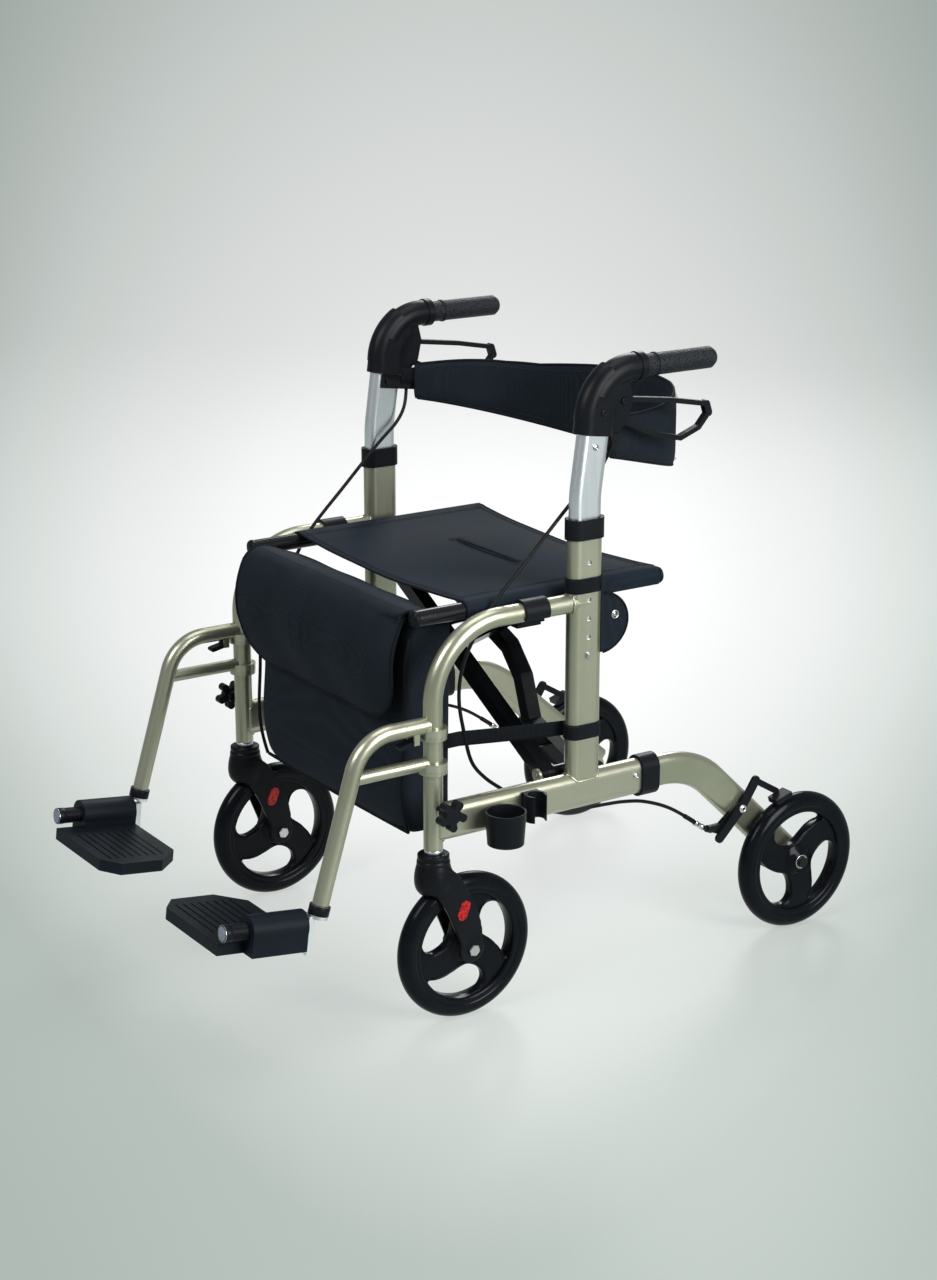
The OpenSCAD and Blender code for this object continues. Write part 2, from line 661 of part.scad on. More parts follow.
// Footplate: tread with fine grooves and the hinge housing on the axle
module footplate(s) {
  outer = plate_axle_x - 6;
  inner = outer - plate_w + 8;
  top = plate_axle_z - plate_drop;
  color(black) side(s) toed() difference() {
    union() {
      difference() {
        translate([0, 0, top - plate_t]) linear_extrude(plate_t)
          polygon([[outer, plate_front], [inner + 26, plate_front], [inner, plate_front + 20],
            [inner, plate_back - 34], [inner + 34, plate_back - CLEAR], [outer, plate_back - CLEAR]]);
        for (k = [0 : 7]) translate([inner + 22, plate_front + 14 + 11 * k, top - 1.5])
          cube([plate_w - 66, 2.4, 3]);
      }
      along(plate_front + 36, plate_back - CLEAR) {
        translate([plate_axle_x - 19, plate_axle_z - 30]) square([38, 32]);
        translate([plate_axle_x, plate_axle_z]) circle(d = 40);
      }
    }
    bar_y(plate_axle_d + 2 * CLEAR, plate_front - 1, plate_back + 1, plate_axle_x, plate_axle_z);
    translate([plate_axle_x - 14, plate_front - 1, plate_axle_z - 13]) cube([60, 36, 60]);
  }
}

// Star knob with its stud
module star_knob(s) {
  x = track_half + tube_d / 2;
  color(black) side(s) {
    translate([x + knob_reach - 12, front_y, rail_z + 24]) rotate([0, 90, 0]) linear_extrude(12) {
      circle(r = knob_r * 0.52);
      for (k = [0 : 4]) rotate(72 * k) {
        strip([0, 0], [knob_r * 0.7, 0], knob_r * 0.44);
        translate([knob_r * 0.74, 0]) circle(r = knob_r * 0.26);
      }
    }
    bar_x(knob_r * 0.8, x + 13, x + knob_reach - 11, front_y, rail_z + 24);
    bar_x(knob_r / 3 - 2 * CLEAR, x - 5, x + 14, front_y, rail_z + 24);
  }
}

// Saddle: a strap over the arch's top run with a sloped ledge under the seat tube
module saddle(s) {
  r = tube_d / 2 + RUN;
  rest = (seat_d / 2 + 2 * CLEAR) * [cos(44), -sin(44)];
  color(black) side(s) along(-45, -8) difference() {
    union() {
      translate([track_half, arch_z]) circle(r = r + 4);
      translate([seat_x, seat_z])
        polygon([rest, rest + [-14, -12.6], [-6, -26], [seat_in - 6, -26], [seat_in - 6, rest[1]]]);
    }
    translate([track_half, arch_z]) circle(r = r);
    translate([track_half + 2, arch_z - r - 20]) square([60, 24]);
  }
}

module height_pin(s) {
  x = track_half + oval_short / 2;
  color(silver) side(s) {
    bar_x(hole_d - 2 * CLEAR, track_half + inner_short / 2 + 2 * CLEAR, x + 3, upright_y, pin_z);
    bar_x(hole_d + 2, x + EPS, x + 2.5, upright_y, pin_z);
  }
}

// Strap from the bag's rear edge round the upright
module bag_strap(s) {
  w = 1.6;
  color(cloth) side(s) translate([0, 0, rail_z + 74]) linear_extrude(20) {
    translate([track_half, upright_y]) difference() {
      oval2(oval_long + 2 * w + 0.6, oval_short + 2 * w + 0.6);
      oval2(oval_long + 0.6, oval_short + 0.6);
    }
    polygon([[bag_half + CLEAR, -128], [bag_half + CLEAR + w, -128], [bag_half + CLEAR + w, -102],
      [track_half - oval_short / 2 - 0.4, upright_y - 12],
      [track_half - oval_short / 2 - 0.4 - w, upright_y - 12], [bag_half + CLEAR, -100]]);
  }
}

// Backrest bracket on the inner face of the handle tube
module backrest_bracket(s) {
  color(black) side(s) {
    leaned() {
      translate([-inner_short / 2 - 3 - EPS, -12, 58]) cube([3, 62, 20]);
      translate([-inner_short / 2 - 6, -2, 68]) rotate([0, 90, 0]) cylinder(d = 9, h = 4);
    }
  }
}

// Cross brace: two bars from the hinge sleeve to the opposite seat tube
module brace_arm(tube_from, tube_to) {
  p = [pivot_x, pivot_z];
  q = [-seat_x, seat_z];
  joggle = [p, p + [-100, 35], p + [-122, 95], p + [-154, 130], q];
  difference() {
    union() {
      bar_y(sleeve_d, brace_y - bar_off - bar / 2 - 1, brace_y + bar_out + bar / 2 + 1, pivot_x, pivot_z);
      bar_y(seat_d, tube_from, tube_to, -seat_x, seat_z);
      along(brace_y - bar_off - bar / 2, brace_y - bar_off + bar / 2) strip(p, q, bar);
      along(brace_y + bar_out - bar / 2, brace_y + bar_out + bar / 2)
        for (k = [0 : 3]) strip(joggle[k], joggle[k + 1], bar);
      along(brace_y - bar_off, brace_y + bar_out) strip(p + [-50, 22], p + [-60, 27], 8);
    }
    bar_y(rod_d + 2 * RUN, -200, 200, pivot_x, pivot_z);
    bar_y(rod_d + 2 * RUN, -200, 200, 0, cross_z);
  }
}

module cross_brace_a() {
  color("#1b1c1e") placed() brace_arm(seat_front, seat_back);
}

module cross_brace_b() {
  color("#1b1c1e") placed() translate([0, 2 * brace_y, 0]) rotate([0, 0, 180])
    brace_arm(2 * brace_y - seat_back, 2 * brace_y - seat_front);
}

module cross_pivot() {
  reach = bar_off + bar / 2;
  color(silver) placed() {
    bar_y(rod_d, brace_y - reach - 3, brace_y + reach + 3, 0, cross_z);
    bar_y(14, brace_y - reach - 5, brace_y - reach - EPS, 0, cross_z);
    bar_y(14, brace_y + reach + CLEAR, brace_y + reach + 5, 0, cross_z);
  }
}

// Seat sling: one sagging sheet whose sides wrap over the seat tubes
module seat_sling() {
  r = seat_d / 2 + CLEAR;
  sag = 9;
  n = 16;
  mid = [for (k = [1 : n - 1]) let(x = seat_x * (2 * k / n - 1))
    [x, seat_z + r - sag * (1 - pow(x / seat_x, 2))]];
  hook = function (q) [for (k = [0 : 8]) let(a = 15 * k - 30) [seat_x + q * cos(a), seat_z + q * sin(a)]];
  right = function (q) hook(q);
  left = function (q) [for (k = [8 : -1 : 0]) [-hook(q)[k][0], hook(q)[k][1]]];
  top = concat(right(r + sling_t), [for (k = [n - 2 : -1 : 0]) mid[k] + [0, sling_t]], left(r + sling_t));
  under = concat([for (k = [8 : -1 : 0]) left(r)[k]], mid, [for (k = [8 : -1 : 0]) right(r)[k]]);
  color(cloth) placed() along(sling_front, sling_back) polygon(concat(top, under));
}

// Bag and its flap, hanging under the front of the seat
module bag() {
  color(cloth) placed() across(-bag_half, bag_half)
    polygon([[-106, seat_z - 18], [-104, bag_low + 144], [-103, bag_low + 8], [-112, bag_low],
      [-164, bag_low], [-173, bag_low + 12], [-186, bag_low + 94], [-192, seat_z - 120],
      [-186, seat_z - 40], [-172, seat_z - 18]]);
}

module bag_flap() {
  color(cloth) placed() intersection() {
    across(-bag_half, bag_half) translate([0, seat_z])
      polygon([[-112, -17], [-172, -17], [-187.5, -39.5], [-193.5, -120], [-191, -150], [-198, -150],
        [-214, -100], [-222, -50], [-206, -8], [-178, 5], [-140, 0], [-112, -8]]);
    along(-260, -60) {
      translate([-bag_half, seat_z - 80]) square([2 * bag_half, 200]);
      translate([-bag_half + 70, seat_z - 150]) square([2 * bag_half - 140, 100]);
      for (k = [-1, 1]) translate([k * (bag_half - 70), seat_z - 80]) circle(r = 70);
    }
  }
}

// Backrest band: bulged plan, lower behind than at its ends
module backrest() {
  n = 28;
  end_y = upright_y + 43;
  half = track_half - inner_short / 2 - 3 - CLEAR;
  plan = function (w, d) [for (k = [0 : n]) let(a = 180 * k / n, c = cos(a), m = pow(sin(a), 0.8))
    [w * sign(c) * pow(abs(c), 0.8), end_y + d * m]];
  color(cloth) placed() intersection() {
    translate([0, 0, lean_z - 68]) linear_extrude(220) polygon(concat(plan(half, back_depth),
      [for (k = [n : -1 : 0]) plan(half - back_t, back_depth - back_t)[k]]));
    across(-half, half) translate([end_y, lean_z])
      polygon([[-1, 50], [back_depth + 1, -1], [back_depth + 1, 100], [-1, 102]]);
  }
}

// Cane cup and spring clip on the near rail, and the cane strap on the near upright
module cane_holder() {
  face = track_half + oval_short / 2 + 0.5;
  x = face + cup_gap + cup_d / 2 - 0.5;
  y = -94;
  color(black) side(1) {
    difference() {
      union() {
        translate([x, y, rail_z - 32]) cylinder(d1 = cup_d - 6, d2 = cup_d, h = 44);
        translate([face + EPS, y - 12, rail_z - 18]) cube([cup_d / 2, 24, 28]);
      }
      translate([x, y, rail_z - 28])
        cylinder(d1 = cup_d - 6 - 2 * cup_wall, d2 = cup_d - 2 * cup_wall, h = 41);
    }
    translate([face + EPS, -38, rail_z - 16]) linear_extrude(36) difference() {
      union() {
        translate([15, 0]) circle(d = 30);
        translate([0, -12]) square([10, 24]);
      }
      translate([16, 0]) circle(d = 23);
      translate([20, -9]) square([20, 18]);
    }
  }
}

module cane_strap() {
  w = 1.6;
  z = arch_z + tube_d / 2 + 1.3;
  x = track_half + oval_short / 2 + 0.4;
  color(cloth) side(1) {
    translate([track_half, upright_y, z]) linear_extrude(20) difference() {
      oval2(oval_long + 2 * w + 0.6, oval_short + 2 * w + 0.6);
      oval2(oval_long + 0.6, oval_short + 0.6);
    }
    across(x, x + w) difference() {
      union() {
        translate([upright_y + 17, z - 43]) circle(r = 42);
        translate([upright_y - 5, z - 4]) square([56, 20]);
      }
      translate([upright_y - 55, z - 111]) square([72, 108]);
      translate([upright_y + 39, z - 34]) circle(d = 6);
    }
  }
}

side_frame(1);  // left_side_frame
side_frame(-1);  // right_side_frame
rear_leg(1);  // left_rear_leg
rear_leg(-1);  // right_rear_leg
collars(1);  // left_collars
collars(-1);  // right_collars
handle_tube(1);  // left_handle_tube
handle_tube(-1);  // right_handle_tube
elbow(1);  // left_elbow
elbow(-1);  // right_elbow
grip(1);  // left_grip
grip(-1);  // right_grip
brake_lever(1);  // left_brake_lever
brake_lever(-1);  // right_brake_lever
brake_arm(1);  // left_brake_arm
brake_arm(-1);  // right_brake_arm
brake_bracket(1);  // left_brake_bracket
brake_bracket(-1);  // right_brake_bracket
brake_cable(1);  // left_brake_cable
brake_cable(-1);  // right_brake_cable
caster_fork(1);  // left_caster_fork
caster_fork(-1);  // right_caster_fork
reflector(1);  // left_reflector
reflector(-1);  // right_reflector
front_wheel(1);  // left_front_wheel
front_wheel(-1);  // right_front_wheel
front_axle(1);  // left_front_axle
front_axle(-1);  // right_front_axle
rear_wheel(1);  // left_rear_wheel
rear_wheel(-1);  // right_rear_wheel
rear_axle(1);  // left_rear_axle
rear_axle(-1);  // right_rear_axle
footrest_hanger(1);  // left_footrest_hanger
footrest_hanger(-1);  // right_footrest_hanger
footrest_latch(1);  // left_footrest_latch
footrest_latch(-1);  // right_footrest_latch
footrest_axle(1);  // left_footrest_axle
footrest_axle(-1);  // right_footrest_axle
footplate(1);  // left_footplate
footplate(-1);  // right_footplate
star_knob(1);  // left_star_knob
star_knob(-1);  // right_star_knob
saddle(1);  // left_saddle
saddle(-1);  // right_saddle
height_pin(1);  // left_height_pin
height_pin(-1);  // right_height_pin
bag_strap(1);  // left_bag_strap
bag_strap(-1);  // right_bag_strap
backrest_bracket(1);  // left_backrest_bracket
backrest_bracket(-1);  // right_backrest_bracket
cross_brace_a();
cross_brace_b();
cross_pivot();
seat_sling();
bag();
bag_flap();
backrest();
cane_holder();
cane_strap();
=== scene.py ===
import math
import bpy
import bmesh
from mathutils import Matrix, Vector


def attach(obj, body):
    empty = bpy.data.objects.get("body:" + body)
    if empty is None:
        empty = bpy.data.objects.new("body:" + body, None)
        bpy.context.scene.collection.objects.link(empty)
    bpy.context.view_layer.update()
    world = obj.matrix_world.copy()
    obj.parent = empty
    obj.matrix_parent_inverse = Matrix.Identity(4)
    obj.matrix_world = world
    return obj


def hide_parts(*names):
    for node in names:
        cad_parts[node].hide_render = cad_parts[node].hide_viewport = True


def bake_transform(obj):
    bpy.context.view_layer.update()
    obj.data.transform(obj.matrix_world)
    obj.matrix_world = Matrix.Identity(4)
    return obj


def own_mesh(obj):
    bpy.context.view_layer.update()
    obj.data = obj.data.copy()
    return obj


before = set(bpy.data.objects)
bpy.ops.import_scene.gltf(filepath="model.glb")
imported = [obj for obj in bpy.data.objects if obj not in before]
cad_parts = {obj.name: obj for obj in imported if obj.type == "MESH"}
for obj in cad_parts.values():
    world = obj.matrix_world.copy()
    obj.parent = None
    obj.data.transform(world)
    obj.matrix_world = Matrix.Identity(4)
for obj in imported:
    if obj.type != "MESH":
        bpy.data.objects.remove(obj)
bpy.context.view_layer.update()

# Shared sizes in millimetres and two slopes, as in the solids
MID_X, MID_Y = 9.9, 19.632
TRACK, FRONT_Y, UPRIGHT_Y = 252.0, -178.0, 55.0
RAIL_Z, ARCH_Z, SEAT_X, SEAT_Z = 278.0, 537.0, 212.0, 540.0
BAG_HALF = 196.0
AXLE_Z, CASTER_Y = 100.0, -132.0
REAR_X, REAR_Y = TRACK + 12, 425.0
FORK_TOP, BLADE_OUT, BLADE_IN = 237.0, 23.0, 17.0
PLATE_X, PLATE_Y, PLATE_Z, PLATE_FRONT = 242.0, -367.815, 180.0, -482.815
TOE, HANGER_SLOPE = math.radians(7), math.radians(17)
SIDES = (("left", 1), ("right", -1))

# Camera fitted to the photograph: angles, distance in metres, aim in millimetres, focal length in pixels
VIEW_AZIMUTH, VIEW_ELEVATION, VIEW_DISTANCE = math.radians(56.49), math.radians(16.88), 3.5039
VIEW_X, VIEW_Y, VIEW_Z = -47.1, 74.1, 405.0
FOCAL_PIXELS, PHOTO_WIDTH, SENSOR_WIDTH = 2478.25, 937, 36

# Radius in millimetres at which a turned form closes on its axis
TIP = 0.02


# From the source's millimetres to the frame's metres, with the object's middle at the origin
def mm(x, y, z):
    return Vector(((x - MID_X) / 1000, (y - MID_Y) / 1000, z / 1000))


# Camera at the photograph's angle
def set_camera():
    level = math.cos(VIEW_ELEVATION)
    east, north = math.sin(VIEW_AZIMUTH), -math.cos(VIEW_AZIMUTH)
    back = Vector((east * level, north * level, math.sin(VIEW_ELEVATION)))
    camera = bpy.data.cameras.new("camera")
    camera.sensor_fit = "HORIZONTAL"
    camera.sensor_width = SENSOR_WIDTH
    camera.lens = SENSOR_WIDTH * FOCAL_PIXELS / PHOTO_WIDTH
    camera.clip_end = 100
    obj = bpy.data.objects.new("camera", camera)
    obj.location = mm(VIEW_X, VIEW_Y, VIEW_Z) + VIEW_DISTANCE * back
    obj.rotation_euler = (-back).to_track_quat("-Z", "Y").to_euler()
    bpy.context.scene.collection.objects.link(obj)
    bpy.context.scene.camera = obj


set_camera()


# Pointiness at which an edge begins to look worn, and at which it is fully worn
WEAR_START, WEAR_FULL = 0.52, 0.62
# Depths of the bump in metres: paint and plastic grain, brushed lines, woven threads
GRAIN, BRUSH, THREADS = 0.0003, 0.0002, 0.0006


# One procedural material and the nodes it is made of
class Nodes:
    def __init__(self, name):
        self.mat = bpy.data.materials.new(name)
        self.mat.use_nodes = True
        self.tree = self.mat.node_tree
        self.bsdf = self.tree.nodes["Principled BSDF"]
        self.coord = self.add("ShaderNodeTexCoord").outputs["Object"]

    def add(self, kind, **values):
        node = self.tree.nodes.new(kind)
        for key, value in values.items():
            if key in node.inputs:
                node.inputs[key].default_value = value
            else:
                setattr(node, key, value)
        return node

    def link(self, a, b):
        self.tree.links.new(a, b)

    def noise(self, scale, detail=4.0, rough=0.55, stretch=(1, 1, 1)):
        place = self.add("ShaderNodeMapping")
        place.inputs["Scale"].default_value = stretch
        self.link(self.coord, place.inputs["Vector"])
        node = self.add("ShaderNodeTexNoise", Scale=scale, Detail=detail, Roughness=rough)
        self.link(place.outputs["Vector"], node.inputs["Vector"])
        return node.outputs["Fac"]

    def ramp(self, fac, low, high, a=0.3, b=0.7):
        node = self.add("ShaderNodeValToRGB")
        node.color_ramp.elements[0].position = a
        node.color_ramp.elements[1].position = b
        node.color_ramp.elements[0].color = (*low, 1)
        node.color_ramp.elements[1].color = (*high, 1)
        self.link(fac, node.inputs["Fac"])
        return node.outputs["Color"]

    def span(self, fac, low, high):
        node = self.add("ShaderNodeMapRange")
        node.inputs["To Min"].default_value = low
        node.inputs["To Max"].default_value = high
        self.link(fac, node.inputs["Value"])
        return node.outputs["Result"]

    def bump(self, height, strength, depth):
        node = self.add("ShaderNodeBump", Strength=strength, Distance=depth)
        self.link(height, node.inputs["Height"])
        self.link(node.outputs["Normal"], self.bsdf.inputs["Normal"])

    def wave(self, direction, scale):
        node = self.add("ShaderNodeTexWave", bands_direction=direction, Scale=scale, Distortion=0.0)
        self.link(self.coord, node.inputs["Vector"])
        return node.outputs["Fac"]

    def math(self, op, a, b):
        node = self.add("ShaderNodeMath", operation=op)
        for slot, value in zip(node.inputs, (a, b)):
            if isinstance(value, (int, float)):
                slot.default_value = value
            else:
                self.link(value, slot)
        return node.outputs["Value"]

    def edge_wear(self, colour, worn, amount):
        surface = self.add("ShaderNodeNewGeometry")
        sharp = self.add("ShaderNodeMapRange")
        sharp.inputs["From Min"].default_value = WEAR_START
        sharp.inputs["From Max"].default_value = WEAR_FULL
        self.link(surface.outputs["Pointiness"], sharp.inputs["Value"])
        share = self.math("MULTIPLY", sharp.outputs["Result"], amount)
        mix = self.add("ShaderNodeMix", data_type="RGBA")
        self.link(share, mix.inputs["Factor"])
        self.link(colour, mix.inputs["A"])
        mix.inputs["B"].default_value = (*worn, 1)
        return mix.outputs["Result"]


# Materials
# A tone made darker or lighter
def shade(tone, share):
    return tuple(share * channel for channel in tone)


def paint():
    n = Nodes("champagne_paint")
    flake = n.noise(2600, 2)
    tone = n.ramp(n.noise(9), (0.330, 0.338, 0.246), (0.395, 0.403, 0.300))
    colour = n.edge_wear(tone, (0.50, 0.50, 0.40), 0.4)
    n.link(colour, n.bsdf.inputs["Base Color"])
    n.bsdf.inputs["Metallic"].default_value = 0.80
    n.link(n.span(flake, 0.26, 0.36), n.bsdf.inputs["Roughness"])
    n.bsdf.inputs["Coat Weight"].default_value = 0.25
    n.bsdf.inputs["Coat Roughness"].default_value = 0.12
    n.bump(flake, 0.08, GRAIN)
    return n.mat


def brushed(name, low, high, rough=0.28):
    n = Nodes(name)
    line = n.noise(900, 3, stretch=(1, 1, 0.02))
    n.link(n.ramp(line, low, high), n.bsdf.inputs["Base Color"])
    n.bsdf.inputs["Metallic"].default_value = 1.0
    n.link(n.span(line, rough - 0.03, rough + 0.05), n.bsdf.inputs["Roughness"])
    n.bump(line, 0.02, BRUSH)
    return n.mat


def plastic(name, tone, rough, grain=1400, depth=0.25, coat=0.0, shine=0.13):
    n = Nodes(name)
    fine = n.noise(grain, 3)
    mottle = n.ramp(n.noise(22), shade(tone, 0.8), shade(tone, 1.35))
    n.link(n.edge_wear(mottle, shade(tone, 2.0), 0.35), n.bsdf.inputs["Base Color"])
    n.link(n.span(n.noise(60), rough - 0.05, rough + 0.08), n.bsdf.inputs["Roughness"])
    n.bsdf.inputs["Specular IOR Level"].default_value = shine
    n.bsdf.inputs["Coat Weight"].default_value = coat
    n.bump(fine, depth, GRAIN)
    return n.mat


def weave(name, tone, pitch=0.0013, depth=0.5, sheen=0.02):
    n = Nodes(name)
    # The wave texture repeats every pi / 10 at a scale of 1
    scale = 2 * math.pi / pitch / 20
    over = n.math("MULTIPLY", n.wave("X", scale), n.wave("Z", scale))
    slant = n.wave("Y", scale)
    cloth = n.math("MAXIMUM", over, n.math("MULTIPLY", slant, 0.7))
    soft = n.noise(14, 5)
    blend = n.math("ADD", n.math("MULTIPLY", cloth, 0.5), n.math("MULTIPLY", soft, 0.5))
    n.link(n.ramp(blend, shade(tone, 0.65), shade(tone, 1.55), 0.2, 0.8), n.bsdf.inputs["Base Color"])
    n.link(n.span(blend, 0.66, 0.86), n.bsdf.inputs["Roughness"])
    n.bsdf.inputs["Specular IOR Level"].default_value = 0.07
    n.bsdf.inputs["Sheen Weight"].default_value = sheen
    n.bsdf.inputs["Sheen Roughness"].default_value = 0.4
    n.bsdf.inputs["Sheen Tint"].default_value = (0.55, 0.65, 0.85, 1)
    n.bump(blend, depth, THREADS)
    return n.mat


def ribbed_rubber():
    n = Nodes("grip_rubber")
    bits = n.add("ShaderNodeTexVoronoi", Scale=420.0)
    n.link(n.coord, bits.inputs["Vector"])
    speckle = n.ramp(bits.outputs["Distance"], (0.016, 0.019, 0.024), (0.006, 0.007, 0.009))
    n.link(speckle, n.bsdf.inputs["Base Color"])
    n.link(n.span(n.noise(90), 0.42, 0.6), n.bsdf.inputs["Roughness"])
    n.bsdf.inputs["Specular IOR Level"].default_value = 0.16
    n.bump(bits.outputs["Distance"], 0.75, 0.0012)
    return n.mat


def reflector_red():
    n = Nodes("reflector_red")
    cells = n.add("ShaderNodeTexVoronoi", Scale=300.0)
    n.link(n.coord, cells.inputs["Vector"])
    prisms = n.ramp(cells.outputs["Distance"], (0.50, 0.008, 0.008), (0.17, 0.002, 0.003))
    n.link(prisms, n.bsdf.inputs["Base Color"])
    n.bsdf.inputs["Roughness"].default_value = 0.2
    n.bsdf.inputs["Specular IOR Level"].default_value = 0.25
    n.bsdf.inputs["Coat Weight"].default_value = 0.15
    n.bump(cells.outputs["Distance"], 0.4, 0.0006)
    return n.mat


PAINT = paint()
SILVER = brushed("silver_tube", (0.78, 0.82, 0.86), (0.86, 0.89, 0.92), 0.28)
STEEL = brushed("steel", (0.45, 0.45, 0.45), (0.66, 0.66, 0.65), 0.22)
MOULDED = plastic("moulded_black", (0.0048, 0.0057, 0.0073), 0.34, shine=0.10)
GLOSSY = plastic("wheel_black", (0.0032, 0.0042, 0.0060), 0.20, 700, 0.05, 0.05, shine=0.07)
SATIN = plastic("brace_black", (0.0046, 0.0052, 0.0062), 0.20, 500, 0.03, 0.22)
TREAD = plastic("plate_black", (0.0052, 0.0074, 0.0105), 0.42, 1000, 0.35, shine=0.07)
LINE = plastic("tread_line", (0.085, 0.095, 0.105), 0.5)
CAP = plastic("cap_grey", (0.16, 0.19, 0.23), 0.45)
RUBBER = ribbed_rubber()
RED = reflector_red()
NYLON = weave("nylon", (0.0085, 0.0120, 0.0170))
WEBBING = weave("webbing", (0.0055, 0.0068, 0.0085), 0.0022, 0.8, 0.03)
MESH = weave("seat_mesh", (0.0085, 0.0130, 0.0190), 0.0030, 0.9, 0.02)
THREAD = plastic("thread", (0.013, 0.016, 0.021), 0.55)
CABLE = plastic("cable_black", (0.0045, 0.0050, 0.0058), 0.32)

# Looks of the solids that show, by name without the side; the rest are moulded plastic
LOOK = {"side_frame": PAINT, "rear_leg": PAINT, "footrest_hanger": PAINT, "handle_tube": SILVER,
        "footrest_axle": SILVER, "grip": RUBBER, "reflector": RED, "front_axle": STEEL, "rear_axle": SATIN,
        "height_pin": STEEL, "footplate": TREAD, "brake_bracket": SATIN, "backrest_bracket": SATIN,
        "cross_brace_a": SATIN, "cross_brace_b": SATIN, "cross_pivot": STEEL}
for name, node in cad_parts.items():
    key = name.split("_", 1)[1] if name.startswith(("left_", "right_")) else name
    node.data.materials.clear()
    node.data.materials.append(LOOK.get(key, MOULDED))


# Mesh helpers: radii of tubes, thicknesses and stitches in metres, profiles in millimetres
def turns(count):
    return [2 * math.pi * k / count for k in range(count)]


# Faces between neighbouring rings of points, with end caps unless the last ring meets the first
def ring_faces(rings, size, closed=False):
    faces = []
    for i in range(rings if closed else rings - 1):
        following = (i + 1) % rings
        for k in range(size):
            beside = (k + 1) % size
            faces.append((i * size + k, i * size + beside, following * size + beside, following * size + k))
    if not closed:
        faces.append(tuple(range(size)))
        faces.append(tuple((rings - 1) * size + k for k in range(size)))
    return faces


def set_smooth(mesh, smooth):
    for poly in mesh.polygons:
        poly.use_smooth = smooth


def link_mesh(name, mesh):
    obj = bpy.data.objects.new(name, mesh)
    bpy.context.scene.collection.objects.link(obj)
    return obj


def discard(obj):
    mesh = obj.data
    bpy.data.objects.remove(obj)
    bpy.data.meshes.remove(mesh)


def add_mesh(name, verts, faces, material, smooth=True):
    mesh = bpy.data.meshes.new(name)
    mesh.from_pydata([tuple(v) for v in verts], [], faces)
    mesh.validate()
    bm = bmesh.new()
    bm.from_mesh(mesh)
    bmesh.ops.recalc_face_normals(bm, faces=bm.faces)
    bm.to_mesh(mesh)
    bm.free()
    set_smooth(mesh, smooth)
    mesh.materials.append(material)
    return link_mesh(name, mesh)


# One object from several, in which each keeps its own material
def join(name, parts):
    bm = bmesh.new()
    looks = []
    for part in parts:
        base = len(bm.faces)
        bm.from_mesh(part.data)
        bm.faces.ensure_lookup_table()
        look = part.data.materials[0]
        if look not in looks:
            looks.append(look)
        for face in bm.faces[base:]:
            face.material_index = looks.index(look)
        discard(part)
    mesh = bpy.data.meshes.new(name)
    bm.to_mesh(mesh)
    bm.free()
    for look in looks:
        mesh.materials.append(look)
    return link_mesh(name, mesh)


def apply_mods(obj):
    graph = bpy.context.evaluated_depsgraph_get()
    done = bpy.data.meshes.new_from_object(obj.evaluated_get(graph))
    obj.modifiers.clear()
    old = obj.data
    obj.data = done
    bpy.data.meshes.remove(old)
    set_smooth(done, True)
    return obj


# Catmull-Rom curve through the points
def smooth_path(points, steps):
    out = []
    last = len(points) - 1
    for i in range(last):
        a, b, c, d = points[max(i - 1, 0)], points[i], points[i + 1], points[min(i + 2, last)]
        for k in range(steps):
            t = k / steps
            out.append(0.5 * (2 * b + (c - a) * t + (2 * a - 5 * b + 4 * c - d) * t * t
                              + (3 * b - 3 * c + d - a) * t ** 3))
    out.append(points[-1].copy())
    return out


# Round tube along a path, its sections carried along without twist
def tube(name, path, radius, material, sides=12, closed=False):
    count = len(path)
    verts = []
    up = None
    for i, p in enumerate(path):
        ahead = path[(i + 1) % count] if closed else path[min(i + 1, count - 1)]
        behind = path[i - 1] if closed else path[max(i - 1, 0)]
        t = (ahead - behind).normalized()
        if up is None:
            up = t.cross(Vector((0.3, 0.2, 1))).normalized()
        up = (up - t * up.dot(t)).normalized()
        side = t.cross(up)
        verts += [p + radius * (up * math.cos(a) + side * math.sin(a)) for a in turns(sides)]
    return add_mesh(name, verts, ring_faces(count, sides, closed), material)


# Cloth of a given thickness from a grid of points
def sheet_grid(name, grid, material, thick):
    rows, cols = len(grid), len(grid[0])
    verts = [v for row in grid for v in row]
    faces = [(i * cols + j, i * cols + j + 1, (i + 1) * cols + j + 1, (i + 1) * cols + j)
             for i in range(rows - 1) for j in range(cols - 1)]
    obj = add_mesh(name, verts, faces, material)
    shell = obj.modifiers.new("thick", "SOLIDIFY")
    shell.thickness = thick
    shell.offset = 0
    return apply_mods(obj)


def arc_lengths(path):
    lengths = [0.0]
    for a, b in zip(path, path[1:]):
        lengths.append(lengths[-1] + (b - a).length)
    return lengths


def point_along(path, lengths, s):
    for i in range(1, len(lengths)):
        if lengths[i] >= s:
            share = (s - lengths[i - 1]) / max(lengths[i] - lengths[i - 1], 1e-9)
            return path[i - 1].lerp(path[i], share)
    return path[-1]


# A row of short threads, each a spindle with six sides
def stitches(name, path, length=0.0032, gap=0.0018, radius=0.00045):
    lengths = arc_lengths(path)
    verts, faces = [], []
    s = 0.0
    while s + length < lengths[-1]:
        a, b = point_along(path, lengths, s), point_along(path, lengths, s + length)
        t = (b - a).normalized()
        u = t.cross(Vector((0.31, 0.17, 0.9))).normalized()
        w = t.cross(u)
        base = len(verts)
        for p, r in ((a, 0.5), (a.lerp(b, 0.25), 1), (a.lerp(b, 0.75), 1), (b, 0.5)):
            verts += [p + radius * r * (u * math.cos(g) + w * math.sin(g)) for g in turns(6)]
        faces += [tuple(base + v for v in face) for face in ring_faces(4, 6)]
        s += length + gap
    return add_mesh(name, verts, faces, THREAD)


